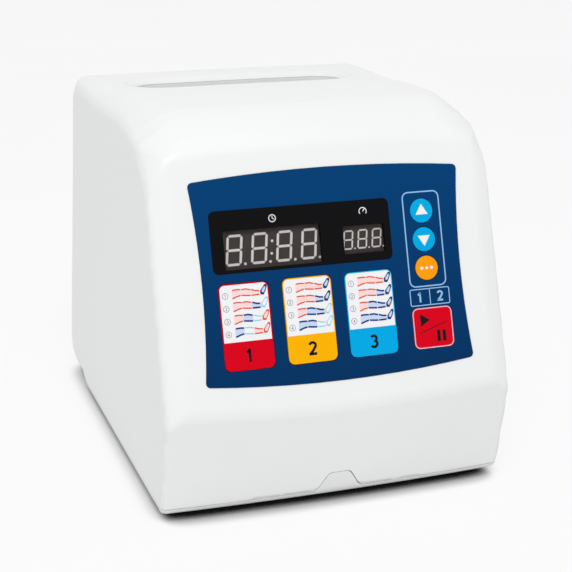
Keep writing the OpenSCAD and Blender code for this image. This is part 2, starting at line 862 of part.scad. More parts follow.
module base_screws() color("silver") at_posts()
    translate([0, 0, foot_h + 1.2]) rotate([180, 0, 0]) screw(shank_r, 16, 2.8, 1.1);

// ---- compressor ----

comp_base_z = floor_z + boss_h + mount_h;
comp_base_t = 2;
comp_z = comp_base_z + comp_base_t;     // top of the base plate
arm_x = 25;                             // middle of an arm
arm_t = 3;
arm_h = 16;
pin_y = comp_c.y + comp_d / 2 - 9;
arm_z = comp_z + head_r + 4;            // height of the pump heads' axis
head_y = pin_y - arm_len * 0.5;
core_half = 13;
magnet_t = 7;
head_x = 33;                            // inner face of a pump head
head_len = 24;

module rubber_mounts() color("#222222") at_mounts() translate([0, 0, floor_z + boss_h])
    difference() {
        rotate_extrude() polygon([
            [0, 0], [mount_r, 0], [mount_r, 2.5], [mount_r - 2, mount_h / 2],
            [mount_r, mount_h - 2.5], [mount_r, mount_h], [0, mount_h]
        ]);
        translate([0, 0, -1]) cylinder(r = pilot_r, h = mount_h + 2);
    }

module compressor_base() color("silver") {
    lug = 5;
    difference() {
        union() {
            translate([comp_c.x, comp_c.y, 0])
                round_block(comp_w, comp_d, 4, comp_base_z, comp_z);
            // the block that holds the two pivot pins
            translate([-arm_x - lug, pin_y - lug, comp_z - eps])
                cube([2 * (arm_x + lug), 2 * lug, arm_z - arm_h / 2 - comp_z - 0.3]);
            translate([-arm_x - lug, pin_y - lug, arm_z + arm_h / 2 + 0.3])
                cube([2 * (arm_x + lug), 2 * lug, 3]);
            translate([-arm_x + lug + 1, pin_y - lug, comp_z - eps])
                cube([2 * (arm_x - lug - 1), 2 * lug, arm_z + arm_h / 2 + 1 - comp_z]);
            // saddles under the pump heads
            for (s = [-1, 1]) translate([s * (head_x + head_len / 2), head_y, comp_z - eps])
                translate([-head_len / 2 + 2, -head_r * 0.6, 0])
                    cube([head_len - 4, head_r * 1.2, arm_z - comp_z - head_r * 0.7]);
        }
        at_mounts() translate([0, 0, comp_base_z - 1]) cylinder(r = pilot_r, h = 10);
        for (s = [-1, 1]) {
            translate([s * arm_x, pin_y, comp_z + 3]) cylinder(r = pin_r, h = 80);
            translate([s * (head_x - 1), head_y, arm_z]) rotate([0, s * 90, 0])
                cylinder(r = head_r + 0.1, h = head_len + 2);
        }
    }
}

core_y = pin_y - arm_len + 9;
core_d = 18;
core_bar = [10, 12];            // section of the bar inside the coil
pole_t = 4;
coil_gap = 0.3;

// A bar along x between two pole plates that stand on the base
module compressor_core() color("#6e6a66") {
    for (s = [-1, 1]) translate([s * (core_half - pole_t / 2), core_y, 0])
        round_block(pole_t, core_d, 0.5, comp_z, arm_z + arm_h / 2);
    translate([0, core_y, arm_z]) cube([2 * core_half - pole_t, core_bar.x, core_bar.y], center = true);
}

module compressor_coil() color("#b5651d") translate([0, core_y, arm_z]) rotate([90, 0, 90])
    difference() {
        half = core_half - pole_t - coil_gap;
        round_block(core_bar.x + 12, core_bar.y + 12, 4, -half, half);
        round_block(core_bar.x + 2 * coil_gap, core_bar.y + 2 * coil_gap, 0.5, -half - 1, half + 1);
    }

module pivot_pins() color("silver") for (s = [-1, 1])
    translate([s * arm_x, pin_y, comp_z + 3])
        cylinder(r = pin_r - 0.02, h = arm_z + arm_h / 2 + 3.3 - comp_z - 3);

// An arm that swings on its pin, with the stud that works the diaphragm
module swing_arm(s) color("lightgray") difference() {
    union() {
        translate([s * arm_x - arm_t / 2, pin_y - arm_len, arm_z - arm_h / 2])
            cube([arm_t, arm_len, arm_h]);
        translate([s * arm_x, pin_y, arm_z - arm_h / 2]) cylinder(r = pin_r + 2.4, h = arm_h);
        translate([s * arm_x, head_y, arm_z]) rotate([0, s * 90, 0])
            cylinder(r = 3, h = head_x - arm_x - 3.2);
    }
    translate([s * arm_x, pin_y, arm_z - arm_h]) cylinder(r = pin_r + 0.04, h = 2 * arm_h);
}
module swing_arm_left() swing_arm(-1);
module swing_arm_right() swing_arm(1);

module magnet(s) color("#4b4f57")
    translate([s * (arm_x - arm_t / 2 - magnet_t / 2), core_y, arm_z])
        cube([magnet_t, 18, arm_h - 2], center = true);
module magnet_left() magnet(-1);
module magnet_right() magnet(1);

module pump_head(s) color("#2b2b2d") translate([s * head_x, head_y, arm_z]) rotate([0, s * 90, 0]) {
    difference() {
        union() {
            cylinder(r = head_r, h = head_len);
            translate([0, 0, head_len - eps]) cylinder(r = head_r - 4, h = 3);
            for (a = [45 : 90 : 315]) rotate(a)
                translate([head_r - 3.5, 0, head_len - eps]) cylinder(r = 2, h = 1.5);
            // outlet spigot, upward
            translate([0, 0, head_len / 2]) rotate([0, -s * 90, 0])
                cylinder(r = spigot_r, h = head_r + 8);
        }
        translate([0, 0, -1]) cylinder(r = head_r - 3, h = head_len - 5);
        translate([0, 0, head_len / 2]) rotate([0, -s * 90, 0])
            cylinder(r = spigot_r - 1.2, h = head_r + 10);
    }
}
spigot_r = 3;
module pump_head_left() pump_head(-1);
module pump_head_right() pump_head(1);

// A moulded rubber disc with one round fold, clamped to the inner face of its head
module diaphragm(s) color("#1d1d1f") translate([s * head_x, head_y, arm_z])
    rotate([0, s * 90, 0]) rotate_extrude() polygon([
        [0, -1.6], [head_r - 9, -1.6], [head_r - 7, 1.2], [head_r - 4, -1.4],
        [head_r, -1.4], [head_r, 0], [head_r - 3.4, 0], [head_r - 7, 2.8],
        [head_r - 10, 0], [0, 0]
    ]);
module diaphragm_left() diaphragm(-1);
module diaphragm_right() diaphragm(1);

module air_filter() color("#d8d8d4")
    translate([0, comp_c.y - comp_d / 2 + filter_r + 1.5, comp_z]) difference() {
        union() {
            cylinder(r = filter_r, h = 20);
            translate([0, 0, 20 - eps]) cylinder(r1 = filter_r, r2 = filter_r - 2, h = 3);
        }
        for (a = [0 : 30 : 330]) rotate(a)
            translate([filter_r - 1, -0.8, 4]) cube([4, 1.6, 12]);
    }
filter_r = 9.5;

// ---- hoses ----

function bezier(p, t) =
    pow(1 - t, 3) * p[0] + 3 * t * pow(1 - t, 2) * p[1]
    + 3 * t * t * (1 - t) * p[2] + pow(t, 3) * p[3];
function bezier_slope(p, t) =
    3 * pow(1 - t, 2) * (p[1] - p[0]) + 6 * t * (1 - t) * (p[2] - p[1])
    + 3 * t * t * (p[3] - p[2]);

// A round hose along a curve that starts and ends square to the x axis
module hose(p, r, rings = 18, sides = 10) {
    points = [
        for (i = [0 : rings])
            let (
                t = i / rings,
                c = bezier(p, t),
                ahead = unit(bezier_slope(p, t)),
                up = unit(cross(ahead, [1, 0, 0])),
                across = cross(up, ahead)
            )
            for (k = [0 : sides - 1])
                let (a = 360 * k / sides) c + r * (cos(a) * across + sin(a) * up)
    ];
    walls = [
        for (i = [0 : rings - 1], k = [0 : sides - 1])
            let (a = i * sides + k, b = i * sides + (k + 1) % sides)
                each [[a, a + sides, b + sides], [a, b + sides, b]]
    ];
    start_cap = [for (k = [0 : sides - 1]) k];
    end_cap = [for (k = [sides - 1 : -1 : 0]) rings * sides + k];
    polyhedron(points, concat([start_cap], walls, [end_cap]));
}

hose_r = 3;
feed_start = arm_z + head_r + 8 + 0.05;
feed_x = head_x + head_len / 2;

module feed_hoses() color("#d9dde0") for (s = [-1, 1]) {
    from = [s * feed_x, head_y, feed_start];
    to = rear_point(-s * feed_x, manifold_w, manifold_in - 8.05);
    hose([from, from + [0, 0, 36], to - 34 * rear_out, to], hose_r);
}

// ---- air manifold with its rotary valve ----

tube_len = 24;
manifold_w = socket_v;
manifold_face = -socket_depth - 8 - 8;      // its outer face, behind the back
manifold_t = 16;
manifold_in = manifold_face - manifold_t;   // its inner face
manifold_len = 2 * socket_u + socket_w;
rotor_r = 15;
rotor_t = 5;
shaft_r = 2.5;
run_gap = 0.05;

module at_all_ports() {
    for (s = [-1, 1]) translate([s * socket_u, socket_v, 0]) at_ports() children();
}

module air_manifold() color("#c9ccd0") on_rear() difference() {
    union() {
        translate([0, manifold_w, 0])
            round_block(manifold_len, 24, 3, manifold_in, manifold_face);
        // round chamber of the valve
        translate([0, manifold_w, manifold_in]) cylinder(r = rotor_r + 4, h = manifold_t);
        at_all_ports() translate([0, 0, manifold_face - eps]) cylinder(r = port_r + 1, h = 6);
        for (s = [-1, 1]) translate([s * feed_x, manifold_w, manifold_in - 8])
            cylinder(r = spigot_r, h = 9);
        translate([sense_u, manifold_w, manifold_in - 8]) cylinder(r = 2, h = 9);
        // two legs that stand on the rear panel
        for (s = [-1, 1]) translate([0, manifold_w + s * 7, manifold_face - eps])
            cylinder(r = 3.5, h = -manifold_face - rear_recess + eps);
    }
    translate([0, manifold_w, manifold_in - 1])
        cylinder(r = rotor_r + 0.4, h = rotor_t + 1.8);
    translate([0, manifold_w, manifold_in - 1]) cylinder(r = shaft_r + run_gap, h = 12);
    at_all_ports() translate([0, 0, manifold_face - 4]) cylinder(r = port_r - 1, h = 20);
    for (s = [-1, 1]) translate([s * feed_x, manifold_w, manifold_in - 9])
        cylinder(r = spigot_r - 1.2, h = 16);
}
sense_u = -52;

module valve_rotor() color("#e8e4da") on_rear() translate([0, manifold_w, manifold_in])
    difference() {
        union() {
            cylinder(r = rotor_r, h = rotor_t);
            translate([0, 0, -2.5]) cylinder(r = shaft_r, h = 13);
        }
        for (a = [0, 90, 200]) rotate(a)
            translate([rotor_r * 0.62, 0, -1]) cylinder(r = 2.2, h = rotor_t + 2);
    }

motor_gap = 1.2;
module valve_motor() color("#8d9095") on_rear() translate([0, manifold_w, manifold_in - motor_gap]) {
    difference() {
        union() {
            translate([0, 0, -16]) cylinder(r = 21, h = 16);
            for (s = [-1, 1]) translate([s * 27, 0, -2]) round_block(20, 8, 2, 0, 2);
            for (s = [-1, 1]) translate([s * 31, 0, -eps]) cylinder(r = 3, h = motor_gap);
        }
        translate([0, 0, -3]) cylinder(r = shaft_r + 0.3, h = 10);
    }
}

module port_tubes() color("#d9dde0") on_rear() at_all_ports()
    translate([0, 0, manifold_face + 0.3]) difference() {
        cylinder(r = port_r + 2.1, h = -socket_depth - 0.3 - manifold_face - 0.3);
        translate([0, 0, -1]) cylinder(r = port_r + 1.05, h = 40);
    }

// ---- power board ----

power_z = floor_z + power_lift;
power_t = 1.6;
power_top = power_z + power_t;

module power_board() color("darkgreen") difference() {
    translate([power_c.x, power_c.y, 0])
        round_block(power_size.x, power_size.y, 2, power_z, power_top);
    at_power_posts() translate([0, 0, power_z - 1]) cylinder(r = pilot_r + 0.2, h = 5);
}

transformer_at = [power_c.x - 30, power_c.y, power_top];
module transformer_core() color("#6e6a66") translate(transformer_at) difference() {
    translate([-21, -9, 0]) cube([42, 18, 35]);
    for (s = [-1, 1]) translate([s * 10.5 - 3.5, -10, 7]) cube([7, 20, 21]);
}
module transformer_coil() color("#e0c04a") translate(transformer_at) difference() {
    translate([-13.7, -15, 7.3]) cube([27.4, 30, 20.4]);
    translate([-7.3, -9.3, 0]) cube([14.6, 18.6, 40]);
    for (s = [-1, 1]) translate([s * 14.2 - 0.2, -9.3, 0]) cube([0.4, 18.6, 40], center = false);
}

module power_parts() color("#26324d") translate([power_c.x, power_c.y, power_top]) {
    for (x = [12, 26]) translate([x, 10, 0]) {
        cylinder(r = 5.5, h = 18);
        translate([0, 0, 18 - eps]) cylinder(r1 = 5.5, r2 = 5, h = 1);
    }
    translate([10, -10, 0]) round_block(18, 10, 1, 0, 14);
    translate([34, -9, 0]) round_block(14, 12, 1, 0, 9);
}

sensor_at = [power_c.x - sense_u, power_c.y + 8, power_top];
module pressure_sensor() color("#2d2f33") translate(sensor_at) {
    round_block(12, 12, 1, 0, 7);
    translate([0, 0, 7 - eps]) cylinder(r = 2, h = 7);
}

module sense_hose() color("#d9dde0") {
    from = sensor_at + [0, 0, 14.05];
    to = rear_point(sense_u, manifold_w, manifold_in - 8.05);
    hose([from, from + [0, 0, 75], to - 60 * rear_out, to], 2, 22, 8);
}

// ---- the parts ----

main_cover();
base_tray();
handle_cup();
fascia();
display_window();
time_display();
pressure_display();
mode_key_1();
mode_key_2();
mode_key_3();
up_key();
down_key();
select_key();
start_key();
zone_indicator();
control_board();
key_switches();
board_screws();
rear_panel();
rear_screws();
mains_inlet();
inlet_pins();
fuse_drawer();
rocker_bezel();
power_rocker();
hose_socket_1();
hose_socket_2();
feet();
base_screws();
rubber_mounts();
compressor_base();
compressor_core();
compressor_coil();
pivot_pins();
swing_arm_left();
swing_arm_right();
magnet_left();
magnet_right();
pump_head_left();
pump_head_right();
diaphragm_left();
diaphragm_right();
air_filter();
feed_hoses();
air_manifold();
valve_rotor();
valve_motor();
port_tubes();
power_board();
transformer_core();
transformer_coil();
power_parts();
pressure_sensor();
sense_hose();
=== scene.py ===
# %% [markdown]
# # A table-top air pump for compression sleeves
#
# The pump is a white moulded box with a blue key panel on its sloping front. The frame that the packed
# model gives is fixed: every hidden part, every opening and every moving key already has its place there.
# This lesson dresses that frame. It gives the shell its soft edges, prints the panel, mixes the finishes,
# and lights it all plainly. Lengths are written in millimetres and scaled at the last moment, because the
# real part was drawn in millimetres and Blender counts in metres.

# %% The frame
import json
import math

import bmesh
import bpy
import numpy as np
from mathutils import Matrix, Vector


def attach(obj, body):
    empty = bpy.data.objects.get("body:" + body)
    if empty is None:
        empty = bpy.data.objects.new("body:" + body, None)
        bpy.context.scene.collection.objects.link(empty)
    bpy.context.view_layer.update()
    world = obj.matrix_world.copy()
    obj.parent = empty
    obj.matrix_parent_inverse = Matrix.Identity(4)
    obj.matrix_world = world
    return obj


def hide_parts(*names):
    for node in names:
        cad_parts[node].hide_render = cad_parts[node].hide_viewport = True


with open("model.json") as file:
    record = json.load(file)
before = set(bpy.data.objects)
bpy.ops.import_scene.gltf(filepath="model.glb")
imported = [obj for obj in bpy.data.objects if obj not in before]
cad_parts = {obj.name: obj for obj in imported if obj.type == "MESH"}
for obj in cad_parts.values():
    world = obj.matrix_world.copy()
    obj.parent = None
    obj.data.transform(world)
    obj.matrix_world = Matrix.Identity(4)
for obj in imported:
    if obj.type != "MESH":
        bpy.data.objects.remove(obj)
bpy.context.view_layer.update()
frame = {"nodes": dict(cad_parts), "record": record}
MM = 0.001
nodes = frame["nodes"]

# %% [markdown]
# ## The camera
# The photograph was taken from the left, a little above the panel, from about 80 cm away with a long lens.
# A camera could be turned by hand until the picture fits. Here the direction was worked out from the panel's
# corners, so it is written as an azimuth, an elevation and a roll, and the matrix is built from its axes.

# %% Camera
EYE = Vector((-233.107, -729.235, 308.568)) * MM
AZIMUTH, ELEVATION, ROLL = (math.radians(a) for a in (-18.666, 16.606, -0.142))
PICTURE_SIDE = 572
FOCAL_PIXELS = 1399
SENSOR = 36

back = Vector((
    math.sin(AZIMUTH) * math.cos(ELEVATION),
    -math.cos(AZIMUTH) * math.cos(ELEVATION),
    math.sin(ELEVATION),
))
level_x = Vector((0, 0, 1)).cross(back).normalized()
level_y = back.cross(level_x)
right = math.cos(ROLL) * level_x + math.sin(ROLL) * level_y
up = math.cos(ROLL) * level_y - math.sin(ROLL) * level_x

camera_data = bpy.data.cameras.new("camera")
camera_data.sensor_width = SENSOR
camera_data.lens = FOCAL_PIXELS * SENSOR / PICTURE_SIDE
camera_data.clip_end = 50
camera = bpy.data.objects.new("camera", camera_data)
camera.matrix_world = Matrix.Translation(EYE) @ Matrix((right, up, back)).transposed().to_4x4()
bpy.context.scene.collection.objects.link(camera)
bpy.context.scene.camera = camera
print("lens", round(camera_data.lens, 2), "mm")

# %% [markdown]
# ## Light and floor
# White plastic on a white table shows its form only through soft differences of light. One large lamp high
# in front, a little to the left, makes the shoulder brighter than the top and the panel brighter than the
# left side. An even sky, which is made once shaders can be written, does the rest. The floor is one wide
# sheet: the camera looks down on it all the way to the top of the picture, so no wall is needed behind.

# %% Lamp and floor
scene = bpy.context.scene
scene.view_settings.view_transform = "Standard"

KEY_POWER = 11.2
LAMP_PLACE, LAMP_TARGET = Vector((-0.36, -1.0, 1.55)), Vector((0, 0, 0.1))
LAMP_SIDE = 0.9
lamp_data = bpy.data.lights.new("key_lamp", "AREA")
lamp_data.shape = "SQUARE"
lamp_data.size = LAMP_SIDE
lamp_data.energy = KEY_POWER
lamp = bpy.data.objects.new("key_lamp", lamp_data)
lamp.location = LAMP_PLACE
lamp.rotation_euler = (LAMP_TARGET - LAMP_PLACE).to_track_quat("-Z", "Y").to_euler()
scene.collection.objects.link(lamp)

FLOOR_HALF = 9
floor_mesh = bpy.data.meshes.new("floor")
floor_mesh.from_pydata(
    [(x * FLOOR_HALF, y * FLOOR_HALF, 0) for x, y in ((-1, -1), (1, -1), (1, 1), (-1, 1))],
    [], [(0, 1, 2, 3)],
)
floor = bpy.data.objects.new("floor", floor_mesh)
scene.collection.objects.link(floor)
print("key lamp", KEY_POWER, "W, floor", 2 * FLOOR_HALF, "m wide")

# %% [markdown]
# ## Writing shaders as sums
# A finish is a small network of nodes. Drawn by hand it is hard to read back, so three helpers let it be
# written as plain Python. `Wire` stands for one socket, and adding or multiplying wires adds the Math nodes.
# `Shader` makes any other node of a tree in one call. `Finish` is the shader of a material.

# %% Wire: arithmetic on sockets
class Wire:
    """One output of a shader tree, on which sums can be written."""

    def __init__(self, shader, socket):
        self.shader = shader
        self.socket = socket

    def math(self, operation, *others):
        sockets = dict(enumerate((self,) + others))
        return self.shader.node("Math", 0, {"operation": operation}, sockets)

    def __add__(self, other):
        return self.math("ADD", other)

    def __sub__(self, other):
        return self.math("SUBTRACT", other)

    def __rsub__(self, other):
        return (self * -1) + other

    def __mul__(self, other):
        return self.math("MULTIPLY", other)

    __radd__ = __add__
    __rmul__ = __mul__

    def __gt__(self, other):
        return self.math("GREATER_THAN", other)

    def __abs__(self):
        return self.math("ABSOLUTE")

    def above(self, other):
        return self.math("MAXIMUM", other)

    def below(self, other):
        return self.math("MINIMUM", other)


print("wires can be added")


# %% Shader: one tree of nodes
class Shader:
    """A tree of shader nodes, written as expressions."""

    def __init__(self, tree):
        self.tree = tree

    def plug(self, socket, value):
        if isinstance(value, Wire):
            self.tree.links.new(value.socket, socket)
        else:
            socket.default_value = value

    def node(self, kind, output, settings=None, sockets=None):
        made = self.tree.nodes.new("ShaderNode" + kind)
        for key, value in (settings or {}).items():
            setattr(made, key, value)
        for key, value in (sockets or {}).items():
            self.plug(made.inputs[key], value)
        return Wire(self, made.outputs[output])

    def seen(self):
        """One where the ray is the camera's, or comes off a gloss or through a clear part."""
        direct, glossy, clear = (
            self.node("LightPath", f"Is {kind} Ray") for kind in ("Camera", "Glossy", "Transmission")
        )
        return direct.above(glossy).above(clear)


print("nodes come from one method")


# %% Finish: one material
def paint(text):
    """A colour written as #rrggbb, as the linear values that Blender mixes."""
    parts = [int(text[i:i + 2], 16) / 255 for i in (1, 3, 5)]
    linear = [c / 12.92 if c <= 0.04045 else ((c + 0.055) / 1.055) ** 2.4 for c in parts]
    return (*linear, 1.0)


class Finish(Shader):
    """The shader of one material. Its constants are named as the sockets, with _ for a space."""

    def __init__(self, name, **constants):
        self.material = bpy.data.materials.new(name)
        self.material.use_nodes = True
        super().__init__(self.material.node_tree)
        self.surface = self.tree.nodes["Principled BSDF"]
        for key, value in constants.items():
            self.surface.inputs[key.replace("_", " ")].default_value = value

    def place(self):
        """Where a point of the piece is, in metres."""
        return self.node("TexCoord", "Object")

    def axes(self):
        parted = self.node("SeparateXYZ", 0, {}, {0: self.place()})
        return [Wire(self, output) for output in parted.socket.node.outputs]

    def stretched(self, scale):
        return self.node("Mapping", 0, {}, {"Vector": self.place(), "Scale": scale})

    def noise(self, scale, detail=2.0, where=None):
        return self.node("TexNoise", 0, {}, {
            "Vector": where or self.place(), "Scale": scale, "Detail": detail,
        })

    def blend(self, share, low, high):
        return self.node("Mix", 2, {"data_type": "RGBA"}, {0: share, 6: low, 7: high})

    def colour(self, value):
        self.plug(self.surface.inputs["Base Color"], value)
        return self

    def roughness(self, share, middle, swing):
        """A roughness that a share from 0 to 1 moves by the swing, about a middle value."""
        self.plug(self.surface.inputs["Roughness"], share * swing + (middle - swing / 2))
        return self

    def bump(self, height, strength, depth_mm):
        relief = self.node("Bump", 0, {}, {
            "Strength": strength, "Distance": depth_mm * MM, "Height": height,
        })
        self.plug(self.surface.inputs["Normal"], relief)
        return self


print("finishes can be mixed")

# %% [markdown]
# ## A sky that is white to look at
# A sky as bright as white paper would burn out the pump. So it lights the pump at a plain level, and is
# nearly white only for what the camera sees of it, straight on, in a gloss or through a clear part.

# %% Sky
SKY, WHITE_SKY = 0.725, 0.97
world = bpy.data.worlds.new("sky")
world.use_nodes = True
scene.world = world
sky = Shader(world.node_tree)
background = sky.tree.nodes["Background"]
background.inputs["Color"].default_value = (1, 1, 1, 1)
sky.plug(background.inputs["Strength"], sky.seen() * (WHITE_SKY - SKY) + SKY)
print("sky", SKY, "as light,", WHITE_SKY, "to look at")

# %% [markdown]
# ## A white floor that keeps its shadow
# The floor has the same trouble, so part of what the camera, a gloss or a clear part sees of it is its own
# glow. Close under the case very little light gets in, so the paint and the glow both grow darker where
# something stands near.

# %% Floor paint
GLOW_SHARE = 0.82
GLOW = 1.0
OPEN_GAIN, OPEN_LOSS = 2.1, 0.4
NEAR = 0.019        # how near a thing shades the floor, in metres
SHADE = paint("#101010")

floor_paint = Finish("floor_paint", Specular_IOR_Level=0.0)
openness = floor_paint.node("AmbientOcclusion", 1, {"samples": 16}, {"Distance": NEAR})
lit_share = (openness * OPEN_GAIN - OPEN_LOSS).above(0).below(1)
speckle = floor_paint.blend(floor_paint.noise(3), paint("#FCFCFC"), paint("#FFFFFF"))
floor_paint.colour(floor_paint.blend(lit_share, SHADE, paint("#F2F2F2")))
floor_paint.roughness(floor_paint.noise(5), 0.9, 0.1)
glow = floor_paint.node("Emission", 0, {}, {
    "Color": floor_paint.blend(lit_share, SHADE, speckle), "Strength": GLOW,
})
mixed = floor_paint.node("MixShader", 0, {}, {
    0: floor_paint.seen() * GLOW_SHARE, 1: Wire(floor_paint, floor_paint.surface.outputs[0]), 2: glow,
})
floor_paint.plug(floor_paint.tree.nodes["Material Output"].inputs["Surface"], mixed)
floor_mesh.materials.append(floor_paint.material)
print("floor glow", GLOW_SHARE)

# %% [markdown]
# ## Moulded plastic
# The case is satin plastic from an etched mould: nearly even, with a fine grain that softens the shine and
# faint clouds where the melt cooled. The colour could be one value, but then the large sides look like
# paper. Two noises are enough: a broad one moves colour and roughness a little, a fine one is the grain.

# %% Plastic, film and rubber
CLOUD_SCALE = 26
GRAIN_SCALE = 2600


def moulded(name, light, dark, rough, grain=0.12, cloud=CLOUD_SCALE, **constants):
    finish = Finish(name, **constants)
    clouds = finish.noise(cloud, 3.0)
    finish.colour(finish.blend(clouds, paint(dark), paint(light)))
    finish.roughness(clouds, rough, 0.10)
    finish.bump(finish.noise(GRAIN_SCALE, 2.0), grain, 0.05)
    return finish


case_white = moulded("case_white", "#EFF0F0", "#EBECEC", 0.42)
tray_white = moulded("tray_white", "#EBECEC", "#E5E6E6", 0.45)
# painted shade: the grip cup is the case's white plastic, greyed here to stand in for the shade inside the
# slot
cup_painted_shade = moulded("cup_painted_shade", "#D6D7D7", "#CFD0D0", 0.5)
black_plastic = moulded("black_plastic", "#232426", "#191A1C", 0.45, 0.25)
socket_grey = moulded("socket_grey", "#46494D", "#3A3D41", 0.45, 0.25)
rubber = moulded("rubber", "#2A2A2B", "#1E1E1F", 0.75, 0.4)
manifold_grey = moulded("manifold_grey", "#9DA1A5", "#8B8F93", 0.5, 0.2)
felt_white = moulded("felt_white", "#E3E0D8", "#C9C5BA", 0.95, 0.9, 900)
part_blue = moulded("part_blue", "#2C5AA0", "#1F4A8C", 0.4, 0.1)
print(case_white.material.name, len(case_white.tree.nodes), "nodes")

# %% [markdown]
# ## Printed film
# The keys, the panel and the drawings are printed on a satin film. Ink lies evenly, so its grain is finer
# than the plastic's and its clouds are very faint. The blue panel has painted light: its colour is mixed
# lighter towards its top, where more light falls, so its colour follows the height as well.

# %% Inks
INK_ROUGH = 0.36
FILM_SHINE = 0.05       # satin film mirrors much less than bare plastic
INK_DEEP = 0.94         # how bright the deepest clouds of an ink are


def ink(name, colour, rough=INK_ROUGH):
    finish = Finish(name, Specular_IOR_Level=FILM_SHINE)
    clouds = finish.noise(60, 2.0)
    base = paint(colour)
    deep = (*(c * INK_DEEP for c in base[:3]), 1.0)
    finish.colour(finish.blend(clouds, deep, base))
    finish.roughness(clouds, rough, 0.06)
    finish.bump(finish.noise(4200, 1.0), 0.06, 0.02)
    return finish


key_red = ink("key_red", "#D9001B")
key_yellow = ink("key_yellow", "#FDB400")
key_cyan = ink("key_cyan", "#00A9E4")
key_orange = ink("key_orange", "#FF9E0A")
ink_white = ink("ink_white", "#F2F2F4")
ink_black = ink("ink_black", "#17181C")
ink_grey = ink("ink_grey", "#8C8F96")
ink_line = ink("ink_line", "#93C0EA")
ink_rim = ink("ink_rim", "#E9B7C8")
ink_idle = ink("ink_idle", "#E2492F")
ink_blush = ink("ink_blush", "#FBD9D6")
ink_push = ink("ink_push", "#143A7C")
ink_wash = ink("ink_wash", "#C9D8F2")
ink_rest = ink("ink_rest", "#8FD0EA")

PANEL_LOW_Z, PANEL_HIGH_Z = 72 * MM, 168 * MM
panel_blue = Finish("panel_blue", Specular_IOR_Level=FILM_SHINE)
height = panel_blue.axes()[2]
# painted light: the blue is mixed lighter the higher a point lies on the panel
rise = (height - PANEL_LOW_Z) * (1 / (PANEL_HIGH_Z - PANEL_LOW_Z))
painted_light_clouded = rise + panel_blue.noise(30, 2.0) * 0.15
panel_blue.colour(panel_blue.blend(painted_light_clouded, paint("#00305E"), paint("#003D71")))
panel_blue.roughness(panel_blue.noise(60, 2.0), 0.38, 0.08)
panel_blue.bump(panel_blue.noise(3600, 1.0), 0.08, 0.02)
print("inks ready")

# %% [markdown]
# ## Metal, copper and boards
# Most of these are inside and show only through the slots at the back or when the case is taken off.
# Brushed metal is noise pulled long in one direction, a winding is fine bands of wire, a laminated core is
# wider bands, and a board is green lacquer over a faint pattern of tracks.

# %% Metals and boards
def brushed(name, light, dark, rough, stretch=(40, 40, 1600)):
    finish = Finish(name, Metallic=1.0)
    streaks = finish.noise(1.0, 3.0, finish.stretched(stretch))
    finish.colour(finish.blend(streaks, paint(dark), paint(light)))
    finish.roughness(streaks, rough, 0.16)
    finish.bump(streaks, 0.08, 0.03)
    return finish


def banded(name, light, dark, rough, bands, metallic):
    finish = Finish(name, Metallic=metallic)
    wave = finish.node("TexWave", 1, {"bands_direction": "Z"}, {
        "Vector": finish.place(), "Scale": bands, "Distortion": 0.6, "Detail Scale": 2.0,
    })
    finish.colour(finish.blend(wave, paint(dark), paint(light)))
    finish.roughness(wave, rough, 0.15)
    finish.bump(wave, 0.5, 0.15)
    return finish


steel = brushed("steel", "#C9CBCD", "#A9ABAE", 0.32)
plated_steel = brushed("plated_steel", "#C4C6C4", "#A4A8A4", 0.4, (1600, 60, 60))
motor_metal = brushed("motor_metal", "#B9BBBE", "#96989B", 0.38)
core_iron = banded("core_iron", "#6B6460", "#4A4542", 0.495, 320, 0.6)
winding = banded("winding", "#C7703A", "#8A4420", 0.345, 420, 0.8)
magnet_grey = moulded("magnet_grey", "#5A5D62", "#45484D", 0.6, 0.4, 200)

board_green = Finish("board_green")
tracks = board_green.node("TexBrick", 1, {}, {
    "Vector": board_green.place(), "Scale": 160.0, "Mortar Size": 0.04,
})
board_green.colour(board_green.blend(tracks, paint("#1E6B38"), paint("#2C8049")))
board_green.roughness(board_green.noise(80), 0.35, 0.1)
board_green.bump(tracks, 0.3, 0.05)

hose_clear = Finish("hose_clear", Alpha=0.6)
milk = hose_clear.noise(140, 2.0)
hose_clear.colour(hose_clear.blend(milk, paint("#D8DCDD"), paint("#E9ECEC")))
hose_clear.roughness(milk, 0.17, 0.1)
hose_clear.bump(milk, 0.1, 0.05)
print("metals ready")

# %% [markdown]
# ## The panel's own frame
# Everything on the panel is measured as the maker drew it: u to the right, v up the face and n out of it,
# from the middle of the panel. One matrix carries such a point into the row frame. The back gets its own.

# %% Two drawing frames
FRONT_TILT, REAR_LEAN = math.radians(16.85), math.radians(13.2)
FRONT_Y, REAR_Y = -133.0, 133.0
CREASE_Z, PANEL_ROW = 56.0, 81.5
REAR_BREAK_Z, REAR_ROW_Z = 26.0, 98.0

panel_origin = Vector((
    0, FRONT_Y + PANEL_ROW * math.sin(FRONT_TILT), CREASE_Z + PANEL_ROW * math.cos(FRONT_TILT),
))
rear_origin = Vector((
    0, REAR_Y - (REAR_ROW_Z - REAR_BREAK_Z) * math.tan(REAR_LEAN), REAR_ROW_Z,
))


def drawing_frame(origin, across, upward):
    """Millimetres along across, upward and out of the face, as a matrix into metres."""
    out = across.cross(upward)
    turned = Matrix((across, upward, out)).transposed().to_4x4()
    return Matrix.Scale(MM, 4) @ Matrix.Translation(origin) @ turned


PANEL = drawing_frame(
    panel_origin, Vector((1, 0, 0)), Vector((0, math.sin(FRONT_TILT), math.cos(FRONT_TILT))),
)
REAR = drawing_frame(
    rear_origin, Vector((-1, 0, 0)), Vector((0, -math.sin(REAR_LEAN), math.cos(REAR_LEAN))),
)
print("panel middle", [round(c, 2) for c in panel_origin])

# %% [markdown]
# ## The form of the case
# The case is one soft form: a side view with nine faces, a slight crown across the top, bevels beside the
# panel and rounded sides. It could be a box with Bevel modifiers, but a bevel has one width along an edge,
# and here the top falls away to the sides in a curve that is widest at the shoulder and gone down the
# front, where the side edge is crisp. So the form is written as a field: a number for each point, below
# zero inside. Two faces join through `rounded`, whose softness may differ from place to place, and the
# surface is where the field is zero.

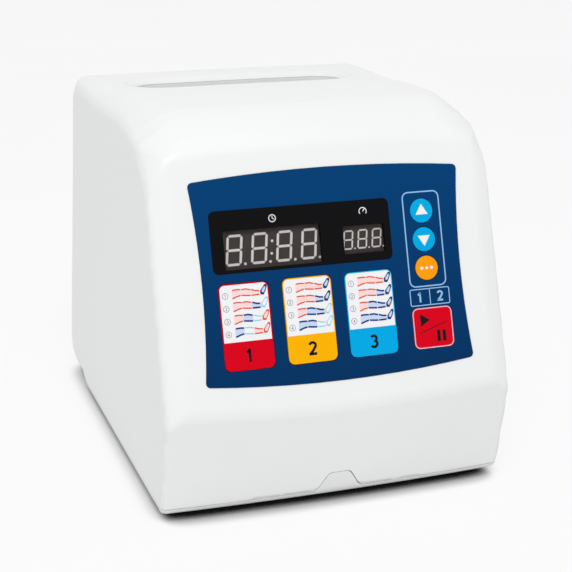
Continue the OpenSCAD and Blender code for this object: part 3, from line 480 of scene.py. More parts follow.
# %% Corners of the side view
BODY_HALF = 91.4
SIDE_DRAFT = math.tan(math.radians(0.6))
FOOT_Z, BODY_TOP = 3.5, 197.4
PAD_LEN, PAD_HALF = 130, 80.5
SHOULDER_RUN, SHOULDER_BULGE = 26, 4.8
TOP_DROP, REAR_DROP = 0.6, 3.8
CHIN_BACK, CREST_Y = 12.8, -45
BEVEL_DEPTH, BEVEL_WIDE = 4.6, 10.9
BEVEL_SLOPE = math.atan(BEVEL_DEPTH / BEVEL_WIDE)

pad_top = np.array([
    FRONT_Y + PAD_LEN * math.sin(FRONT_TILT), CREASE_Z + PAD_LEN * math.cos(FRONT_TILT),
])
top_front = np.array([pad_top[0] + SHOULDER_RUN, BODY_TOP - TOP_DROP])
chord = (top_front - pad_top) / np.linalg.norm(top_front - pad_top)
shoulder = (pad_top + top_front) / 2 + SHOULDER_BULGE * np.array([-chord[1], chord[0]])
crest = np.array([CREST_Y, BODY_TOP])
rear_top_z = BODY_TOP - REAR_DROP
rear_top = np.array([REAR_Y - (rear_top_z - REAR_BREAK_Z) * math.tan(REAR_LEAN), rear_top_z])
rear_break, rear_foot = np.array([REAR_Y, REAR_BREAK_Z]), np.array([REAR_Y, FOOT_Z])
crease = np.array([FRONT_Y, CREASE_Z])
chin_foot = np.array([FRONT_Y + CHIN_BACK, FOOT_Z])
print("shoulder corner", [round(float(c), 1) for c in shoulder])


# %% Faces and their joins
def rounded(a, b, soft):
    """Faces a and b met by an edge that starts this far down each of them."""
    u, v = np.maximum(a + soft, 0), np.maximum(b + soft, 0)
    return np.hypot(u, v) - soft + np.minimum(np.maximum(a, b) + soft, 0)


def edge_line(y, z, start, end):
    """Distance out of the side view's line from start to end, which runs anticlockwise."""
    along = (end - start) / np.linalg.norm(end - start)
    return (y - start[0]) * along[1] - (z - start[1]) * along[0]


def step(low, high, value):
    t = np.clip((value - low) / (high - low), 0, 1)
    return t * t * (3 - 2 * t)


# A face's two ends, its sag at the sides, its share of the dish, and how softly it joins the last one.
CHIN_SAG = 2.6
TOP_FACES = (
    (pad_top, crease, 0, 0, 1.9),
    (shoulder, pad_top, 1.5, 0, 0.9),
    (top_front, shoulder, 1.3, 0, 6.6),
    (crest, top_front, 1, 0, 0.7),
    (rear_top, crest, 1, 1, 1.0),
)
BACK_FACES = ((rear_break, rear_top, 10.8), (rear_foot, rear_break, 0.7))
BEVEL_SOFT = 1.0
print("faces in the side view", 2 + len(TOP_FACES) + len(BACK_FACES))

# %% The field
SAG_HALF = 89                   # where a face's sag is measured
SLOT_Y = 42.0
DISH_DEPTH, DISH_Y = 2.8, 38.0  # the shallow dish round the grip slot
DISH_HALF, DISH_REACH = 72, 32
FOOT_SOFT, FRONT_FOOT, REAR_FOOT = 2.5, 2.5, 16.2
FRONT_FOOT_YS, REAR_FOOT_YS = (-95, -112), (95, 118)
FALL_ANGLE = math.radians(50)   # the top falls away to the sides along this slope
FALL_FRONT, FALL_LESS = 8.3, 4.0
FALL_YS, FALL_ZS = (0, 80), (163, 190)
SWELL, SWELL_Y, SWELL_Z, SWELL_REACH = 5.8, -76, 182, 17
LEAST_SOFT, SOFT_SHARE = 0.1, 0.9
SIDE_SOFT, REAR_CORNER, CORNER_YS = 2.8, 7.0, (72, 98)
SKIN = 0.1                      # the form stays this far inside the CAD case


def case_field(p):
    x, y, z = np.abs(p[:, 0]), p[:, 1], p[:, 2]
    across = (x / SAG_HALF) ** 2
    dish = DISH_DEPTH * np.exp(-(x / DISH_HALF) ** 6 - ((y - DISH_Y) / DISH_REACH) ** 2)
    f = edge_line(y, z, crease, chin_foot) + CHIN_SAG * across
    for start, end, sag, dished, soft in TOP_FACES:
        f = rounded(f, edge_line(y, z, start, end) + sag * across + dished * dish, soft)
    out_of_panel = edge_line(y, z, pad_top, crease)
    bevel = (x - PAD_HALF) * math.sin(BEVEL_SLOPE) + out_of_panel * math.cos(BEVEL_SLOPE)
    f = rounded(f, bevel, BEVEL_SOFT)
    for start, end, soft in BACK_FACES:
        f = rounded(f, edge_line(y, z, start, end), soft)
    foot_soft = FOOT_SOFT + FRONT_FOOT * step(*FRONT_FOOT_YS, y) + REAR_FOOT * step(*REAR_FOOT_YS, y)
    f = rounded(f, FOOT_Z - z, foot_soft)
    from_swell = (y - SWELL_Y) ** 2 + (z - SWELL_Z) ** 2
    swell = SWELL * np.exp(-from_swell / (2 * SWELL_REACH ** 2))
    fall = (FALL_FRONT - FALL_LESS * step(*FALL_YS, y)) * step(*FALL_ZS, z) + swell
    side = x - BODY_HALF + z * SIDE_DRAFT
    slant = side * math.sin(FALL_ANGLE) + (f + fall) * math.cos(FALL_ANGLE)
    f = rounded(f, slant, LEAST_SOFT + SOFT_SHARE * fall)
    return rounded(f, side, SIDE_SOFT + REAR_CORNER * step(*CORNER_YS, y)) + SKIN


def out_of_case(p, h=0.02):
    """The direction straight out of the form at each point."""
    shifts = np.eye(3) * h
    slope = np.stack([case_field(p + s) - case_field(p - s) for s in shifts], axis=1)
    return slope / np.linalg.norm(slope, axis=1, keepdims=True)


middle = np.array([[0.0, 0.0, 100.0]])
print("field in the middle", round(float(case_field(middle)[0]), 1), "mm")

# %% [markdown]
# ## A skin over the field
# The skin is a net thrown over the field. Each point of the net starts on a small box inside the case and
# goes outward until the field is zero: straight out over the faces, fanning out round the edges. Halving
# the step forty times finds the surface for all points at once, and the net stays neat because its rows
# follow the box. A second net, one wall further in, will show where the wall would break through.

# %% Rows of the net
INNER_BOX = ((-55.0, 55.0), (-60.0, 60.0), (30.0, 150.0))
ROW_GAP = 5.0
UPRIGHT_ROWS = ((30, 50, 4.0), (50, 63, 1.0), (64, 151, 4.3))    # closest round the crease
FAN_STEPS = 22


def row_stations(axis):
    """Places along one axis, each with the slope of its fan: core rows between two fans."""
    low, high = INNER_BOX[axis]
    core = np.arange(low, high + 1, ROW_GAP)
    if axis == 2:
        core = np.concatenate([np.arange(*rows) for rows in UPRIGHT_ROWS])
        core[-1] = high
    fan = np.tan(np.linspace(0, math.pi / 4, FAN_STEPS + 1))[1:]
    places = np.concatenate([np.full(FAN_STEPS, low), core, np.full(FAN_STEPS, high)])
    slopes = np.concatenate([-fan[::-1], np.zeros(len(core)), fan])
    return places, slopes


def net_side(axis, sign):
    """The net's points and meshes over one side of the box."""
    others = [a for a in range(3) if a != axis]
    (p1, s1), (p2, s2) = (row_stations(a) for a in others)
    start = np.zeros((len(p1), len(p2), 3))
    heading = np.zeros_like(start)
    start[..., axis] = INNER_BOX[axis][1 if sign > 0 else 0]
    heading[..., axis] = sign
    start[..., others[0]], heading[..., others[0]] = p1[:, None], s1[:, None]
    start[..., others[1]], heading[..., others[1]] = p2[None, :], s2[None, :]
    index = np.arange(start.shape[0] * start.shape[1]).reshape(start.shape[:2])
    quads = np.stack([index[:-1, :-1], index[1:, :-1], index[1:, 1:], index[:-1, 1:]], -1).reshape(-1, 4)
    if (sign > 0) != (axis != 1):
        quads = quads[:, ::-1]
    return start.reshape(-1, 3), heading.reshape(-1, 3), quads


print("rows from side to side", len(row_stations(0)[0]), "and upward", len(row_stations(2)[0]))

# %% The net on the form
REACH = 260.0       # farther than any point of the form
HALVINGS = 40
WELD = 1e-6


def onto_surface(start, heading, inset=0.0):
    """Where the rays from the start points meet the form, or the form this far inside it."""
    heading = heading / np.linalg.norm(heading, axis=1, keepdims=True)
    near, far = np.zeros(len(start)), np.full(len(start), REACH)
    for _ in range(HALVINGS):
        half = (near + far) / 2
        inside = case_field(start + heading * half[:, None]) < -inset
        near, far = np.where(inside, half, near), np.where(inside, far, half)
    return start + heading * near[:, None]


def object_from(name, bm):
    mesh = bpy.data.meshes.new(name)
    bm.to_mesh(mesh)
    bm.free()
    made = bpy.data.objects.new(name, mesh)
    scene.collection.objects.link(made)
    return made


def form_solid(name, inset=0.0):
    """The whole form as a closed mesh, or the same form this far inside it."""
    points, quads, count = [], [], 0
    for axis in range(3):
        for sign in (-1, 1):
            start, heading, side_quads = net_side(axis, sign)
            points.append(onto_surface(start, heading, inset))
            quads.append(side_quads + count)
            count += len(start)
    net = bpy.data.meshes.new(name)
    net.from_pydata((np.concatenate(points) * MM).tolist(), [], np.concatenate(quads).tolist())
    bm = bmesh.new()
    bm.from_mesh(net)
    bmesh.ops.remove_doubles(bm, verts=bm.verts, dist=WELD)
    bmesh.ops.recalc_face_normals(bm, faces=bm.faces)
    open_edges = sum(not e.is_manifold for e in bm.edges)
    print(name, len(bm.faces), "faces,", open_edges, "open edges")
    return object_from(name, bm)


CASE_WALL = 2.5
form = form_solid("form")
hollow = form_solid("hollow", CASE_WALL)

# %% [markdown]
# ## Cutting the shell from the form
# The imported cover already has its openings, ledges and screw posts, but its outside has hard edges. So a
# copy of it is cut down to the form: only what lies inside both is left, and the outside becomes the soft
# skin while every opening stays. The tray gets the same treatment. After the cut, each point of the skin is
# given the field's own direction as its normal, so that the shading doesn't show the net.

# %% Copies and cuts
def closed_copy(node):
    """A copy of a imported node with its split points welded, as a closed mesh."""
    bm = bmesh.new()
    bm.from_mesh(nodes[node].data)
    bmesh.ops.remove_doubles(bm, verts=bm.verts, dist=WELD)
    return object_from(node + "_copy", bm)


def boolean(target, tool, operation):
    """Join the tool to the target, take it away, or keep only what is in both."""
    cut = target.modifiers.new("cut", "BOOLEAN")
    cut.object = tool
    cut.operation = operation
    cut.solver = "MANIFOLD"
    bpy.context.view_layer.update()
    result = bpy.data.meshes.new_from_object(
        target.evaluated_get(bpy.context.evaluated_depsgraph_get()),
    )
    target.modifiers.clear()
    target.data = result


print("copies can be cut")

# %% Shading from the field
SKIN_NEAR = 0.04        # a point this close to the field's zero belongs to the skin
SKIN_FACING = 0.9       # how straight out a face of the skin looks
SHARP = math.radians(32)


def shade_by_field(piece):
    """Smooth shading whose normals follow the field on the skin, and the faces elsewhere."""
    mesh = piece.data
    for face in mesh.polygons:
        face.use_smooth = True
    mesh.set_sharp_from_angle(angle=SHARP)
    where = np.array([v.co for v in mesh.vertices]) / MM
    on_skin = np.abs(case_field(where)) < SKIN_NEAR
    outward = out_of_case(where)
    normals = np.zeros((len(mesh.loops), 3))
    skin_faces = 0
    for face in mesh.polygons:
        corners = list(face.vertices)
        if on_skin[corners].all() and np.dot(face.normal, outward[corners].mean(0)) > SKIN_FACING:
            normals[list(face.loop_indices)] = outward[corners]
            skin_faces += 1
    mesh.normals_split_custom_set(normals.tolist())
    print(piece.name, len(mesh.polygons), "faces,", skin_faces, "on the skin")


def give(piece, finish):
    piece.data.materials.clear()
    piece.data.materials.append(finish.material)


print("edges over", round(math.degrees(SHARP)), "degrees stay sharp")

# %% [markdown]
# ## An even wall
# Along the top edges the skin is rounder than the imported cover's inside, and round the grip slot it is
# dished, so the wall would break through there. Blocks are added, hollowed by the form moved one wall
# inward, so that the wall is even again.

# %% Corner fillers
CORNER_BLOCKS = (((71, 96), (-122, -44), (136, 202)), ((71, 96), (-60, 112), (164, 202)))
SLOT_BLOCK = ((0, 71), (2, 82), (186, 202))


def corner_fillers():
    """Blocks from the x, y and z ranges above, and their mirror images."""
    fillers = []
    for (x0, x1), (y0, y1), (z0, z1) in (*CORNER_BLOCKS, SLOT_BLOCK):
        for side in (-1, 1):
            bm = bmesh.new()
            bmesh.ops.create_cube(bm, size=MM)
            size = Vector((x1 - x0, y1 - y0, z1 - z0))
            bmesh.ops.scale(bm, verts=bm.verts, vec=size)
            middle = Vector((side * (x0 + x1) / 2, (y0 + y1) / 2, (z0 + z1) / 2))
            bmesh.ops.translate(bm, verts=bm.verts, vec=middle * MM)
            fillers.append(object_from("filler", bm))
    return fillers


print("filler blocks on each side", len(CORNER_BLOCKS) + 1)

# %% [markdown]
# ## The grip slot
# Fingers go into a slot in the top, so its rim is rolled over in a wide curve that runs down into a moulded
# cup. A cutter in the shape of a trumpet rolls the rim of the cover. The cup goes on with the same curve
# below it. Both are rings of one outline, drawn wider or narrower.

# %% Slot outline
SLOT_HALF, SLOT_HALF_WIDE, SLOT_CORNER = 59.0, 13.5, 13.0
CORNER_POINTS, STRAIGHT_POINTS = 13, 18
UNDER_TOP = 150.0       # a height inside the case, from which the top is looked for


def slot_ring(grow):
    """The slot's outline moved outward, as points along its straights and round its ends."""
    reach_x, reach_y = SLOT_HALF - SLOT_CORNER, SLOT_HALF_WIDE - SLOT_CORNER
    spine, heading = [], []
    for sx, sy, first in ((1, 1, 0), (-1, 1, 90), (-1, -1, 180), (1, -1, 270)):
        for degrees in np.linspace(first, first + 90, CORNER_POINTS):
            a = math.radians(degrees)
            spine.append((sx * reach_x, sy * reach_y))
            heading.append((math.cos(a), math.sin(a)))
        if first in (0, 180):
            for x in np.linspace(sx * reach_x, -sx * reach_x, STRAIGHT_POINTS)[1:-1]:
                spine.append((x, sy * reach_y))
                heading.append((0, sy))
    grow = np.broadcast_to(grow, (len(spine),))[:, None]
    return np.array(spine) + np.array(heading) * (SLOT_CORNER + grow) + (0, SLOT_Y)


def top_height(ring):
    """How high the form stands over each point of a ring."""
    start = np.column_stack([ring, np.full(len(ring), UNDER_TOP)])
    return onto_surface(start, np.tile([0.0, 0.0, 1.0], (len(ring), 1)))[:, 2]


def ring_solid(name, rings):
    """A closed solid through rings of points, with flat ends."""
    bm = bmesh.new()
    rows = [[bm.verts.new(Vector(p) * MM) for p in ring] for ring in rings]
    for low, high in zip(rows, rows[1:]):
        for i in range(len(low)):
            j = (i + 1) % len(low)
            bm.faces.new((low[i], low[j], high[j], high[i]))
    bm.faces.new(rows[0][::-1])
    bm.faces.new(rows[-1])
    bmesh.ops.recalc_face_normals(bm, faces=bm.faces)
    return object_from(name, bm)


print("slot outline", len(slot_ring(0)), "points")

# %% Rim cutter
RIM_ROLL = 8.0
RIM_DEPTHS = (12, RIM_ROLL, 6, 4.5, 3.3, 2.3, 1.5, 0.9, 0.45, 0.15, 0.0, -3)


def roll_grow(depth):
    """How much wider than the slot its rolled rim is at a depth under the top."""
    rise = RIM_ROLL - min(depth, RIM_ROLL)
    return RIM_ROLL - math.sqrt(RIM_ROLL ** 2 - rise ** 2)


def ring_under_top(grow, depth):
    """The slot's outline moved outward, at a depth under the top."""
    ring = slot_ring(grow)
    return np.column_stack([ring, top_height(ring) - depth])


rim_cutter = ring_solid("rim_cutter", [
    ring_under_top(roll_grow(max(depth, 0)), depth) for depth in RIM_DEPTHS
])
print("rim cutter", len(RIM_DEPTHS), "rings")

# %% Cover and tray
cover = closed_copy("main_cover")
for filler in corner_fillers():
    boolean(filler, hollow, "DIFFERENCE")
    boolean(cover, filler, "UNION")
    bpy.data.objects.remove(filler)
boolean(cover, form, "INTERSECT")
boolean(cover, rim_cutter, "DIFFERENCE")
cover.name = "cover_shell"
tray = closed_copy("base_tray")
boolean(tray, form, "INTERSECT")
tray.name = "tray_shell"
for piece, node, finish, slot in (
    (cover, "main_cover", case_white, "case_white"), (tray, "base_tray", tray_white, "tray_white"),
):
    shade_by_field(piece)
    give(piece, finish)
    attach(piece, "housing")
    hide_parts(node)
for tool in (form, hollow, rim_cutter):
    bpy.data.objects.remove(tool)

# %% [markdown]
# ## The grip cup
# The cup hangs under the slot. Its lip takes up the rolled rim, its wall goes straight down, and its floor
# turns up in a soft corner so that no dirt stays in it. It is one closed skin: down the inside, across the
# floor and back up the outside.

# %% Cup
CUP_FLOOR, CUP_WALL, CUP_CORNER = 162.6, 2.0, 6.0
LIP_DEPTH, LIP_REACH = 2.62, 6.5    # where the lip lies, and how far it goes outward under the cover
LIP_THICK, NECK_DEPTH = 2.0, 11
LIP_STEP = 0.3


def ring_at(grow, z):
    ring = slot_ring(grow)
    return np.column_stack([ring, np.full(len(ring), z)])


corner_turns = [math.radians(a) for a in range(0, 91, 15)]
outer_corner = CUP_CORNER + CUP_WALL
cup_rings = [
    ring_at(-CUP_CORNER * (1 - math.cos(a)), CUP_FLOOR + CUP_CORNER * (1 - math.sin(a)))
    for a in reversed(corner_turns)
]
cup_rings += [ring_under_top(roll_grow(d), d) for d in (RIM_ROLL, 6.5, 5.2, 4.2, 3.5, LIP_DEPTH)]
cup_rings += [
    ring_under_top(LIP_REACH, LIP_DEPTH + LIP_STEP),
    ring_under_top(LIP_REACH, LIP_DEPTH + LIP_STEP + LIP_THICK),
    ring_under_top(CUP_WALL, NECK_DEPTH),
]
cup_rings += [
    ring_at(
        CUP_WALL - outer_corner * (1 - math.cos(a)),
        CUP_FLOOR - CUP_WALL + outer_corner * (1 - math.sin(a)),
    )
    for a in corner_turns
]
cup = ring_solid("grip_cup", cup_rings)
for face in cup.data.polygons:
    face.use_smooth = True
cup.data.set_sharp_from_angle(angle=SHARP)
# the cup gets the greyed plastic, which is painted shade for the inside of the slot
give(cup, cup_painted_shade)
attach(cup, "housing")
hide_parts("handle_cup")
print("cup", len(cup.data.polygons), "faces")

# %% [markdown]
# ## Displays behind smoked plastic
# The window is one plate, printed black from behind except for two panes, and the grey faces of the LED
# modules stand close behind them. The plate could be cut into pieces, but the real one is a single part,
# so its material decides from the place on the panel where ink is and where it is clear. The pale bars
# come later, on a film over each module.

# %% Window and modules
def panel_axes(finish):
    """u and v of a point, in millimetres, as wires."""
    x, y, z = finish.axes()
    return [x * row[0] + y * row[1] + z * row[2] + row[3] for row in PANEL.inverted()[:2]]


def outside_box(u, v, middle, size):
    """Below zero inside a box on the panel."""
    side = abs(u - middle[0]) - size[0] / 2
    ends = abs(v - middle[1]) - size[1] / 2
    return side.above(ends)


TIME_PANE = ((-30.3, -0.2), (49.2, 18.8))
PRESSURE_PANE = ((16.85, -0.15), (21.5, 13.8))
PANE_ALPHA = 0.12
smoked = Finish("smoked_window", Specular_IOR_Level=FILM_SHINE)
u, v = panel_axes(smoked)
printed = (outside_box(u, v, *TIME_PANE) > 0) * (outside_box(u, v, *PRESSURE_PANE) > 0)
smoked.colour(smoked.blend(printed, paint("#050506"), paint("#0D0D0F")))
smoked.roughness(smoked.noise(50), 0.185, 0.05)
smoked.plug(smoked.surface.inputs["Alpha"], printed * (1 - PANE_ALPHA) + PANE_ALPHA)

led_face = ink("led_face", "#544D4B", 0.45)
led_bar = ink("led_bar", "#FFFCF8", 0.45)


print("window and display finishes ready")

# %% Domes under the red keys
DOME_MIDDLES = ((-47.2, -50.6), (50.6, -48.6))
DOME_R, DOME_LINE = 5.4, 0.55


def add_domes(finish, middles):
    """The faint rings that domes under the film press into it."""
    u, v = panel_axes(finish)
    rings = finish.noise(4200, 1.0) * 0.1
    for at_u, at_v in middles:
        across, upward = u - at_u, v - at_v
        away = (across * across + upward * upward).math("SQRT")
        rings = rings + (1 - abs(away - DOME_R) * (1 / DOME_LINE)).above(0)
    finish.bump(rings, 0.7, 0.12)


add_domes(key_red, DOME_MIDDLES)
print("domes", len(DOME_MIDDLES))

# %% [markdown]
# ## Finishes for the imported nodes
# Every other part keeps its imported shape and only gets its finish.

# %% Finishes on nodes
slot_of = {row["node"]: row["material_slot"] for row in frame["record"]["subparts"]}
finish_of_slot = {
    "case_white": case_white, "tray_white": tray_white, "panel_blue": panel_blue,
    "window_dark": smoked, "display_grey": led_face, "key_red": key_red,
    "key_yellow": key_yellow, "key_cyan": key_cyan, "key_orange": key_orange,
    "indicator_blue": panel_blue, "board_green": board_green, "black_plastic": black_plastic,
    "socket_grey": socket_grey, "steel": steel, "plated_steel": plated_steel, "rubber": rubber,
    "core_iron": core_iron, "winding": winding, "magnet_grey": magnet_grey,
    "felt_white": felt_white, "hose_clear": hose_clear, "manifold_grey": manifold_grey,
    "motor_metal": motor_metal, "part_blue": part_blue,
}
for name, node in nodes.items():
    give(node, finish_of_slot[slot_of[name]])
print("nodes finished", len(nodes))

# %% [markdown]
# ## Printing
# Numbers, arrows and the little drawings on the keys are ink on film. They could be painted in the
# material, but then each key would need its own shader and the lines would blur in a bake. So each colour
# is a layer of real ink: flat outlines five hundredths of a millimetre thick, lying on the key they move
# with. A `Sheet` gathers outlines and lays them down as one piece.

# %% Figures as strokes
def bend(middle, radius, first, last, count=9):
    """Points on part of an ellipse, from one angle to another in degrees."""
    turns = np.radians(np.linspace(first, last, count))
    return [(middle[0] + radius[0] * math.cos(a), middle[1] + radius[1] * math.sin(a)) for a in turns]


FIGURES = {
    "1": [[(-0.2, 0.24), (-0.05, 0.33), (0.06, 0.47)], [(0.03, 0.5), (0.03, 0), (0.03, -0.5)]],
    "2": [
        bend((0, 0.22), (0.25, 0.22), 165, -30) + [(0.02, -0.18), (-0.24, -0.43)],
        [(-0.31, -0.43), (0, -0.43), (0.31, -0.43)],
    ],
    "3": [
        bend((-0.01, 0.21), (0.23, 0.22), 150, -85),
        bend((-0.01, -0.2), (0.26, 0.24), 85, -150, 11),
    ],
    "4": [
        [(0.12, 0.5), (0.12, 0), (0.12, -0.5)],
        [(0.14, 0.44), (-0.08, 0.12), (-0.3, -0.2)],
        [(-0.34, -0.2), (0, -0.2), (0.33, -0.2)],
    ],
}


print("figures", " ".join(FIGURES))

# %% Sheets of ink
INK_T = 0.05
FACE_N = 0.3        # fascia, window and keys stand this proud of the panel face


class Sheet:
    """Flat ink for one body, in the drawing frame of its face."""

    def __init__(self, name, body, slot, frame_matrix, level):
        self.name, self.body, self.slot = name, body, slot
        self.matrix, self.level = frame_matrix, level
        self.bm = bmesh.new()
        self.finishes = []

    def layer(self, finish):
        if finish not in self.finishes:
            self.finishes.append(finish)
        return self.finishes.index(finish)

    def fill(self, finish, outline, order=0, hole=None):
        """A flat shape, or a ring where it has a hole with as many points."""
        low = self.level + order * INK_T
        walls = [outline] + ([hole] if hole is not None else [])
        rows = []
        for loop in walls:
            for level in (low, low + INK_T):
                rows.append([self.bm.verts.new(self.matrix @ Vector((*p, level))) for p in loop])
        faces = []
        for base, top in zip(rows[::2], rows[1::2]):
            faces += self.band(base, top)
        if hole is None:
            faces += [self.bm.faces.new(rows[0][::-1]), self.bm.faces.new(rows[1])]
        else:
            faces += self.band(rows[0], rows[2]) + self.band(rows[1], rows[3])
        for face in faces:
            face.material_index = self.layer(finish)

    def band(self, first, second):
        count = len(first)
        return [
            self.bm.faces.new((first[i], first[(i + 1) % count], second[(i + 1) % count], second[i]))
            for i in range(count)
        ]

    def line(self, finish, points, width, order=0):
        """An open stroke of even width."""
        p = np.array(points, float)
        ahead = np.gradient(p, axis=0)
        side = np.column_stack([-ahead[:, 1], ahead[:, 0]])
        side *= width / 2 / np.linalg.norm(side, axis=1, keepdims=True)
        self.fill(finish, np.concatenate([p - side, (p + side)[::-1]]), order)

    def figure(self, finish, digit, middle, tall, order=0, weight=0.15):
        """A plain upright figure drawn with strokes."""
        for stroke in FIGURES[digit]:
            self.line(finish, np.array(stroke) * tall + middle, weight * tall, order)

    def lay(self):
        bmesh.ops.recalc_face_normals(self.bm, faces=self.bm.faces)
        piece = object_from(self.name, self.bm)
        for finish in self.finishes:
            piece.data.materials.append(finish.material)
        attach(piece, self.body)
        print(self.name, len(piece.data.polygons), "faces")
        return piece


print("ink is", INK_T, "mm thick")

# %% Outlines
def disc(middle, r, count=40):
    turns = [2 * math.pi * k / count for k in range(count)]
    return np.array([(middle[0] + r * math.cos(a), middle[1] + r * math.sin(a)) for a in turns])


def soft_box(middle, size, r, grow=0.0):
    """A box with round corners, as an outline."""
    w, h, r = size[0] / 2 + grow, size[1] / 2 + grow, max(r + grow, 0.05)
    points = []
    for sx, sy, first in ((1, 1, 0), (-1, 1, 90), (-1, -1, 180), (1, -1, 270)):
        for degrees in range(first, first + 91, 15):
            a = math.radians(degrees)
            points.append((sx * (w - r) + r * math.cos(a), sy * (h - r) + r * math.sin(a)))
    return np.array(points) + middle


def frame_line(sheet, finish, middle, size, r, width, order=0):
    sheet.fill(
        finish, soft_box(middle, size, r, width / 2), order, soft_box(middle, size, r, -width / 2),
    )


print("outlines ready")

# %% [markdown]
# ## Drawings on the three programme keys
# Each programme key shows which chambers of the sleeve fill in its four steps: the lower third is the key's
# colour with its number, and above it lies a white field with four little sleeves. A sleeve has a wide end,
# a knee, a calf and a boot. The chamber that pushes is dark blue, those at rest are red, and those that
# have just let go are pale blue.

# %% Sleeve drawings
KEY_SIZE = (25.0, 41.7)
KEY_ROW_V, KEY_PITCH, KEY_MIDDLE_U = -37.0, 32.1, -15.1
COLOUR_SHARE = 0.33     # how much of the key its own colour takes
FIELD_RIM, FIELD_R = 0.55, 2.4
ROW_TOP, ROW_STEP = 4.4, 6.15
SLEEVE_TOP = [(-6.2, 1.9), (-3.9, 2.05), (-1.6, 1.9), (0.9, 2.0), (3.2, 1.45), (5.6, 0.75), (7.6, 0.6)]
SLEEVE_LOW = [(-6.4, -2.1), (-4.0, -1.3), (-1.8, -0.85), (0.7, -1.1), (3.2, -1.3), (5.6, -1.25), (7.6, -1.2)]
BOOT = [(7.9, 0.6), (9.1, 1.9), (10.3, 3.5), (11.3, 3.5), (11.4, 2.3), (10.6, 0.3), (9.5, -1.5), (7.9, -1.3)]
BOOT_LINE = 0.55
CHAMBERS = ((0, 2), (2, 4), (4, 6))
CHAMBER_GAP = 0.22
PUSH, IDLE, REST = "push", "idle", "rest"
PROGRAMMES = {
    1: (
        (IDLE, IDLE, IDLE, PUSH), (IDLE, IDLE, PUSH, REST),
        (IDLE, PUSH, REST, IDLE), (PUSH, REST, IDLE, IDLE),
    ),
    2: (
        (IDLE, IDLE, IDLE, PUSH), (IDLE, IDLE, PUSH, PUSH),
        (IDLE, PUSH, PUSH, REST), (PUSH, PUSH, REST, REST),
    ),
    3: (
        (IDLE, IDLE, IDLE, PUSH), (IDLE, IDLE, PUSH, PUSH),
        (IDLE, PUSH, PUSH, PUSH), (PUSH, PUSH, PUSH, PUSH),
    ),
}
INK_OF = {
    PUSH: (ink_push, ink_wash, 0.78), IDLE: (ink_idle, ink_blush, 0.58),
    REST: (ink_rest, ink_white, 0.5),
}


print("programmes", len(PROGRAMMES), "of", len(PROGRAMMES[1]), "steps")


# %% Programme keys
def sleeve(sheet, at, states):
    """One sleeve with its chambers coloured by what they do."""
    for (first, last), state in zip(CHAMBERS, states):
        line, wash, width = INK_OF[state]
        upper = np.array(SLEEVE_TOP[first:last + 1]) + at
        lower = np.array(SLEEVE_LOW[first:last + 1]) + at
        sheet.fill(wash, np.concatenate([lower, upper[::-1]]), 1)
        for stroke in (upper, lower):
            stroke[0, 0] += CHAMBER_GAP
            stroke[-1, 0] -= CHAMBER_GAP
            sheet.line(line, stroke, width, 2)
    line, wash, width = INK_OF[states[3]]
    boot = np.array(BOOT)
    inner = boot.mean(0) + (boot - boot.mean(0)) * (1 - BOOT_LINE * width)
    sheet.fill(wash, inner + at, 1)
    sheet.fill(line, boot + at, 2, inner + at)


low_v, high_v = -KEY_SIZE[1] * (0.5 - COLOUR_SHARE), KEY_SIZE[1] / 2 - FIELD_RIM
field_half = KEY_SIZE[0] / 2 - FIELD_RIM
white_field = soft_box((0, (low_v + high_v) / 2), (2 * field_half, high_v - low_v), FIELD_R)
at_foot = white_field[:, 1] < low_v + FIELD_R + 0.1
white_field[at_foot, 1] = low_v
white_field[at_foot, 0] = np.sign(white_field[at_foot, 0]) * field_half

for number in PROGRAMMES:
    middle = np.array((KEY_MIDDLE_U + (number - 2) * KEY_PITCH, KEY_ROW_V))
    key = f"mode_key_{number}"
    sheet = Sheet(key + "_print", key, slot_of[key], PANEL, FACE_N)
    sheet.fill(ink_white, white_field + middle)
    for row, states in enumerate(PROGRAMMES[number]):
        v = high_v - ROW_TOP - row * ROW_STEP
        sleeve(sheet, middle + (0.3, v), states)
        badge = middle + (-9.4, v - 0.6)
        sheet.fill(ink_grey, disc(badge, 1.55, 24), 1, disc(badge, 1.32, 24))
        sheet.figure(ink_grey, str(row + 1), badge, 1.5, 1)
    sheet.figure(ink_black, str(number), middle + (0, 6.9 - KEY_SIZE[1] / 2), 6.4, 0, 0.2)
    sheet.lay()

# %% [markdown]
# ## Arrows, frames and the start key
# The small keys carry only signs that everyone reads: two arrows, three dots, and play and pause. The
# numbers one and two name the hose sockets. The thin frame lies on the blue film itself.

# %% Small keys and frames
ROUND_U, ROUND_V, ROUND_PITCH = 48.7, -3.1, 14.35
ARROW = np.array([(-3.3, -1.9), (3.3, -1.9), (0, 3.4)])
DOT_R, DOT_PITCH = 0.75, 2.6

for key, place, turn in (("up_key", 1, 1), ("down_key", 0, -1)):
    sheet = Sheet(key + "_print", key, "key_cyan", PANEL, FACE_N)
    middle = np.array((ROUND_U, ROUND_V + place * ROUND_PITCH))
    sheet.fill(ink_white, ARROW * turn + middle)
    sheet.lay()

select = Sheet("select_key_print", "select_key", "key_orange", PANEL, FACE_N)
for side in (-1, 0, 1):
    select.fill(ink_white, disc((ROUND_U + side * DOT_PITCH, ROUND_V - ROUND_PITCH), DOT_R, 24))
select.lay()

